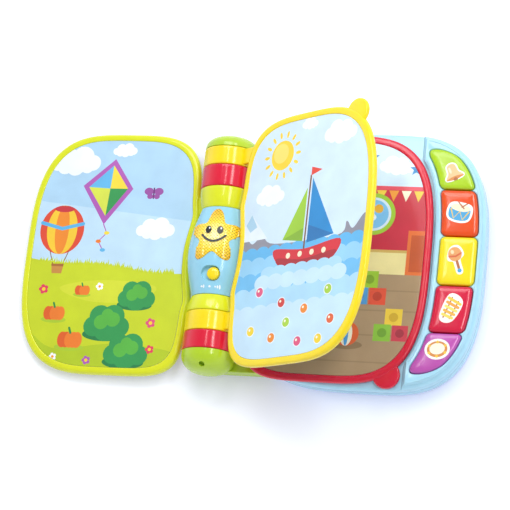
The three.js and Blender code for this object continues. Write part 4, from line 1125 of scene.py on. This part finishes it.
# the boat
mx, my = 112.0, -14.0
lake += [("#7a4a2a", band([(mx, my), (mx, my + 66)], 1.8)),
         ("#1286c8", [(mx + 2.5, my + 6), (mx + 2.5, my + 64), (mx + 34, my + 10)]),
         ("#0f6fae", [(mx + 2.5, my + 6), (mx + 2.5, my + 22), (mx + 34, my + 10)]),
         ("#9cc92c", [(mx - 2.5, my + 8), (mx - 2.5, my + 56), (mx - 27, my + 12)]),
         ("#84b124", [(mx - 2.5, my + 8), (mx - 2.5, my + 20), (mx - 27, my + 12)]),
         ("#e2402c", [(mx, my + 66), (mx, my + 74), (mx + 13, my + 70)]),
         ("#d2202e", curve([(mx - 36, my + 4), (mx, my + 1), (mx + 42, my + 5),
                            (mx + 33, my - 12), (mx, my - 16), (mx - 26, my - 12)])),
         ("#a81826", curve([(mx - 31, my - 4), (mx, my - 8), (mx + 37, my - 4),
                            (mx + 32, my - 12), (mx, my - 16), (mx - 26, my - 12)]))]
lake += [("#f5e9c8", circle(mx + dx, my - 3.0, 2.6, steps=18)) for dx in (-18, -4, 10, 24)]
lake += [("#aedaf3", circle(x, my - 16, 9, 6.0, steps=24)) for x in np.arange(72, 162, 13)]
lake += [("#c8e5f7", circle(x, my - 24, 9.5, 7.0, steps=24)) for x in np.arange(66, 166, 15)]
FLOATS = ((64, -46, "#e0527c"), (92, -58, "#d33a34"), (58, -80, "#f5d42a"), (84, -88, "#f08a24"),
          (120, -66, "#f08a24"), (146, -52, "#a9cf3a"), (152, -78, "#e2602a"), (116, -94, "#e0527c"),
          (140, -94, "#f5d42a"), (100, -76, "#a9cf3a"))
for x, y, colour in FLOATS:
    lake += [("#eaf5fb", circle(x, y, 5.0, steps=20)), (colour, circle(x, y, 4.1, steps=20)),
             ("#fdf6dd", circle(x - 1.2, y + 1.2, 1.2, steps=10))]
printed_card("yellow_page_front_card", "yellow_page", "high", lake, "yellow_page_front_print")
print("shapes on the yellow page:", len(lake))

# %% [markdown]
# ## The red page's picture
# A playroom: a red wall with bunting, a lime-rimmed round window, a cream wainscot and a warm floor
# with stacked blocks and a ball.

# %% Red page picture
room = [field(-Y1, Y1, "#d5eaf6")] + cloud(150, 84, 0.8) + cloud(96, 90, 0.8)
for x, y in ((168, 82), (128, 92)):
    points = [(a, 2.8 if i % 2 else 6.5) for i, a in enumerate(around(10))]
    room += [("#1f86c4", [(x + r * math.sin(a), y + r * math.cos(a)) for a, r in points])]
room += [field(8, 66, "#cf2238"), field(62.5, 66, "#e8485a")]
for i, x in enumerate(np.arange(40, 186, 11)):
    room += [(("#f6cf3a", "#f29a2a", "#f8efd0")[i % 3], [(x - 4.4, 62), (x + 4.4, 62), (x, 52)])]
room += [("#a4cd2a", circle(134, 40, 19, steps=48)), ("#dbeaf2", circle(134, 40, 15.2, steps=44)),
         ("#7fc4ea", circle(134, 40, 13.0, steps=40)), ("#f5fafd", circle(131, 37, 5.5, 3.6, steps=20)),
         ("#f2b32a", circle(138, 45, 4.0, steps=20))]
room += [field(-14, 8, "#f5e39a"), field(5.5, 8, "#d9b45a"), field(-Y1, -14, "#b0916a")]
room += [("#a0835c", [(X0, -14 - d), (X1, -14 - d), (X1, -15.2 - d), (X0, -15.2 - d)])
         for d in (14, 32, 54, 78)]
room += [("#e8702a", [(166, -14), (186, -14), (186, 26), (166, 26)]),
         ("#c9531c", [(169, -11), (186, -11), (186, 22), (169, 22)])]
BLOCKS = ((128, -34, 15, "#4f9fd6", "#3a82b8"), (144, -34, 15, "#e8502e", "#c63c20"),
          (136, -19, 15, "#a4cd2a", "#84ab1c"), (160, -52, 15, "#f6cf3a", "#d8ac1e"),
          (151, -66, 15, "#8fc435", "#74a526"), (166.5, -66, 14, "#d03a4a", "#a82a3a"))
for x, y, w, colour, shade in BLOCKS:
    x0, x1, y0, y1 = x - w / 2, x + w / 2, y - w / 2, y + w / 2
    room += [(colour, [(x0, y0), (x1, y0), (x1, y1), (x0, y1)]),
             (shade, circle(x, y, w * 0.27, steps=20))]
room += [("#947650", circle(120, -78, 15, 4.0)), ("#e2602a", circle(120, -68, 11, steps=36)),
         ("#f8efd0", circle(120, -68, 5.4, 11, steps=28)), ("#4f9fd6", circle(120, -68, 2.0, 11, steps=28))]
room += [("#8a6b48", circle(92, -60, 20, 5.0)), ("#c9a06a", circle(92, -46, 15, steps=36)),
         ("#f1e2c0", circle(92, -46, 9, steps=30))]
printed_card("red_page_front_card", "red_page", "high", room, "red_page_front_print")
print("shapes on the red page:", len(room))

# %% [markdown]
# The faces that lie away from the camera carry plain spot patterns in the same inks.

# %% Back prints
BACKS = {
    "cover_outer": ("cover", "high", "#8fcbe9", ("#f6dc3c", "#e24a2c", "#f5fafd")),
    "yellow_page_back": ("yellow_page", "low", "#bfe0f2", ("#9cc92c", "#f08a24", "#f5fafd")),
    "red_page_back": ("red_page", "low", "#f5e39a", ("#e2602a", "#4f9fd6", "#a4cd2a")),
}
for label, (leaf_name, face, ground, spots) in BACKS.items():
    art = [field(-Y1, Y1, ground)]
    for i, x in enumerate(np.arange(46, 180, 22)):
        for j, y in enumerate(np.arange(-88, 96, 22)):
            art += [(spots[(i + j) % 3], circle(x, y + (i % 2) * 11, 4.0 + (i * 7 + j * 5) % 4, steps=20))]
    printed_card(label + "_card", leaf_name, face, art, label + "_print")
print("inks:", len(INKS))

# %% [markdown]
# ## Key stickers
# Five die-cut stickers with a white border: a bell, a drum, a maraca, a xylophone and a hand drum
# with jingles.

# %% Stickers
def grown(points, amount):
    """The outline moved outwards by amount."""
    pts = np.array(points, float)
    area = sum(a[0] * b[1] - b[0] * a[1] for a, b in zip(pts, np.roll(pts, -1, 0)))
    along = np.roll(pts, -1, 0) - np.roll(pts, 1, 0)
    across = np.stack([along[:, 1], -along[:, 0]], 1) / np.maximum(np.hypot(*along.T), 1e-6)[:, None]
    return [tuple(p) for p in pts + across * amount * (1 if area > 0 else -1)]


bell = curve([(0, 9), (4, 7), (5, 0), (8.5, -5.5), (0, -7), (-8.5, -5.5), (-5, 0), (-4, 7)])
bell_mouth = curve([(-8, -5.3), (0, -4), (8, -5.3), (8.2, -6.4), (0, -7.6), (-8.2, -6.4)])
drum = curve([(-9, 6), (0, 8), (9, 6), (9, -5), (0, -8), (-9, -5)])
drum_side = curve([(-8.6, 4), (0, 2), (8.6, 4), (8.4, -5), (0, -7.4), (-8.4, -5)])
maraca = curve([(-2, 11), (4, 11), (6, 4), (2, 0), (1.6, -10), (-1.6, -10), (-2, 0), (-6, 3)])
bars = [(colour, band([(-5.4 + 0.3 * i, 7.6 - 3.6 * i), (5.4 - 0.3 * i, 6.4 - 3.3 * i)], 2.4))
        for i, colour in enumerate(("#f6c93a", "#f2a03a", "#f8e06a", "#f2b23a", "#f6d95a"))]
jingles = [("#f2c53a", circle(7.9 * math.cos(a), 6.2 * math.sin(a), 1.3, steps=12)) for a in around(6) + 0.4]
STICKERS = {
    "lime": (bell, [
        ("#f2c48a", bell), ("#d9893a", bell_mouth), ("#b5642a", circle(0, -7.4, 2.1, steps=16)),
        ("#fbe3c0", circle(-2.2, 3, 1.2, 3.4, steps=14))], 25, 0.9),
    "orange": (drum, [
        ("#3fa4d8", drum_side), ("#fbe9c8", circle(0, 4.2, 8.7, 3.2)),
        ("#f2c53a", band([(-8, 2), (-4, -6), (0, 1), (4, -6), (8, 2)], 1.1)),
        ("#b5642a", band([(-3, 9), (3, 4)], 1.1)), ("#b5642a", band([(6, 10), (1, 5)], 1.1))], -10, 1.0),
    "yellow": (maraca, [
        ("#e8a05a", circle(0, 5.5, 5.6, 6.2)), ("#b5642a", band([(0, -1), (0, -9.5)], 2.2)),
        ("#d9602a", band([(-5, 5), (0, 3.6), (5, 5)], 1.6)),
        ("#f8dcae", circle(-1.6, 8, 1.4, 1.8, steps=14)),
        ("#3fa4d8", circle(0, -9, 1.8, steps=14))], 20, 1.05),
    "red": (curve([(-5.5, 10), (5.5, 8.5), (4.5, -8.5), (-4.5, -10)]), [
        ("#b5642a", band([(-3, 9), (-2.6, -9)], 1.2)),
        ("#b5642a", band([(3, 8), (2.6, -8)], 1.2))] + bars, -22, 1.05),
    "purple": (circle(0, 0, 9.6, 7.8, steps=36), [
        ("#d9893a", circle(0, 0, 8.8, 7.0, steps=36)),
        ("#fdf3dc", circle(0, 0.4, 6.6, 5.0, steps=32))] + jingles, 10, 1.0),
}
for key, (border, shapes, degrees, scale) in STICKERS.items():
    low, high = KEYS[key][:2]
    cy = (low + high) / 2 + {"lime": -3.5, "purple": 3.5}.get(key, 0)
    cx = (key_side_left(cy) + key_side_right(cy)) / 2
    c, s = math.cos(math.radians(degrees)) * scale, math.sin(math.radians(degrees)) * scale

    def put(points):
        return [(cx + x * c - y * s, cy + x * s + y * c) for x, y in points]
    edge = grown(put(border), 1.3)
    placed_shapes = [("#fdfbf2", edge)] + [(colour, put(outline)) for colour, outline in shapes]
    points, tris, index, inks = colour_map(edge, placed_shapes)
    build = Builder()
    top = KEY_TOP_Z + 0.12
    build.add([(x, y, top) for x, y in points], tris, index)
    area = sum(a[0] * b[1] - b[0] * a[1] for a, b in zip(edge, edge[1:] + edge[:1]))
    ring = edge if area > 0 else edge[::-1]
    build.loft([[(x, y, z) for x, y in ring] for z in (KEY_TOP_Z - 0.05, top)], len(inks), high_cap=False)
    settle(build.finish("sticker_" + key, *[ink(i) for i in inks], SHADE_PAPER), key + "_key", "printed_card")
print("stickers:", len(STICKERS))

# %% [markdown]
# ## Inner and lower pieces
# The pieces inside and under the base keep the frame's own shapes. They get real finishes too:
# plated steel, solder mask, silicone, a paper cone and shrink wrap.

# %% Finishes of the frame's own nodes
STEEL = rough_surface("zinc_plated_steel", "#b9bcc0", 0.3, 0.8, 1.0)
BOARD = rough_surface("solder_mask_on_laminate", "#1f6b3c", 0.35, 1.5)
SILICONE = rough_surface("moulded_silicone", "#5a5d61", 0.6, 1.0)
CONE = rough_surface("pressed_paper_cone", "#232426", 0.7, 0.8)
WRAP = rough_surface("shrink_wrapped_cell", "#2a3036", 0.35, 4.0)
EPOXY = rough_surface("cast_epoxy", "#f3e3b4", 0.15, 2.0)
FINISH = {"base_bottom_shell": BLUE, "battery_door": BLUE, "star_led": EPOXY,
          "spine_board": BOARD, "key_board": BOARD, "main_board": BOARD, "slide_switch_body": STEEL,
          "key_membrane": SILICONE, "speaker": CONE, "battery_left": WRAP, "battery_right": WRAP}
for name, node in nodes.items():
    finish = FINISH.get(name)
    if finish is None:
        if "screw" in name or "contact" in name:
            finish = STEEL
        elif "foot" in name:
            finish = SILICONE
        else:
            finish = GREY
    if not node.material_slots:
        node.data.materials.append(finish)
    for material_slot in node.material_slots:
        material_slot.material = finish
print("finished nodes:", len(nodes))

# %% [markdown]
# ## Stage and light
# The photograph is a studio shot on white with soft light from above and a faint shadow. A pale
# floor stands under a bright sky; its colour turns bluish near the book, a painted shade. A large
# soft box stands behind the book, a strip to its right, and a small box makes the glare on the keys.

# %% Stage and light
floor_mesh = bpy.data.meshes.new("floor")
SPAN = 6.0
corners = [(-SPAN, -SPAN, 0), (SPAN, -SPAN, 0), (SPAN, SPAN, 0), (-SPAN, SPAN, 0)]
floor_mesh.from_pydata(corners, [], [(0, 1, 2, 3)])
floor_piece = link("floor", floor_mesh)
floor_material, floor_tree, floor_shader, _ = new_material("paper_sweep_painted_shade")
# Painted shade: where ambient occlusion finds the book close by, the floor's colour goes from near white to
# bluish grey, standing in for its soft shadow.
occlusion_for_painted_shade = add(floor_tree, "ShaderNodeAmbientOcclusion", {"Distance": 0.09})
painted_shade_ramp = add(floor_tree, "ShaderNodeValToRGB", {"Fac": occlusion_for_painted_shade.outputs["AO"]})
painted_shade_ramp.color_ramp.elements[0].color = linear("#bbb8ea")
painted_shade_ramp.color_ramp.elements[1].color = linear("#f4f6fa")
floor_tree.links.new(painted_shade_ramp.outputs[0], floor_shader.inputs["Base Color"])
floor_shader.inputs["Roughness"].default_value = 0.9
floor_shader.inputs["Specular IOR Level"].default_value = 0.1
floor_shader.inputs["Emission Color"].default_value = (1, 1, 1, 1)
floor_shader.inputs["Emission Strength"].default_value = 0.26
floor_mesh.materials.append(floor_material)

world = bpy.data.worlds.new("studio")
bpy.context.scene.world = world
world.use_nodes = True
tree = world.node_tree
tree.nodes.clear()
rays = add(tree, "ShaderNodeLightPath")
soft = add(tree, "ShaderNodeBackground", {"Color": linear("#eef3fb"), "Strength": 0.67})
ray = add(tree, "ShaderNodeTexCoord").outputs["Generated"]
heading = add(tree, "ShaderNodeSeparateXYZ", {0: ray}).outputs[2]
fade = {"Value": heading, "From Min": 0.0, "From Max": 0.85, "To Min": 1.7, "To Max": 0.4}
horizon_glow = add(tree, "ShaderNodeMapRange", fade).outputs[0]
mirrored = add(tree, "ShaderNodeBackground", {"Color": linear("#f4f8fd"), "Strength": horizon_glow})
plain = add(tree, "ShaderNodeBackground", {"Color": (1, 1, 1, 1), "Strength": 1.0})
to_glossy = {0: rays.outputs["Is Glossy Ray"], 1: soft.outputs[0], 2: mirrored.outputs[0]}
lit = add(tree, "ShaderNodeMixShader", to_glossy)
to_camera = {0: rays.outputs["Is Camera Ray"], 1: lit.outputs[0], 2: plain.outputs[0]}
mix = add(tree, "ShaderNodeMixShader", to_camera)
add(tree, "ShaderNodeOutputWorld", {"Surface": mix.outputs[0]})


def area_light(name, place, aim, along, size, power):
    """A soft box at place that faces aim, with its long side along a direction."""
    data = bpy.data.lights.new(name, "AREA")
    data.shape = "RECTANGLE"
    (data.size, data.size_y), data.energy = size, power
    away = (Vector(place) - Vector(aim)).normalized()
    across = Vector(along) - Vector(along).dot(away) * away
    across.normalize()
    lamp = bpy.data.objects.new(name, data)
    lamp.matrix_world = (Matrix.Translation(place)
                         @ Matrix((across, away.cross(across), away)).transposed().to_4x4())
    bpy.context.scene.collection.objects.link(lamp)


area_light("key_box", (-0.10, 0.85, 1.30), (0.05, 0, 0), (1, 0.1, 0), (0.9, 0.5), 6.2)
area_light("spine_strip", (0.50, 0.25, 1.0), (0, 0, 0.03), (0, 1, 0), (0.9, 0.14), 4.4)
area_light("key_glare", (-0.005, 0.217, 0.78), (0.205, 0, 0.03), (0, 1, 0), (0.42, 0.05), 0.6)
bpy.context.scene.view_settings.view_transform = "Standard"
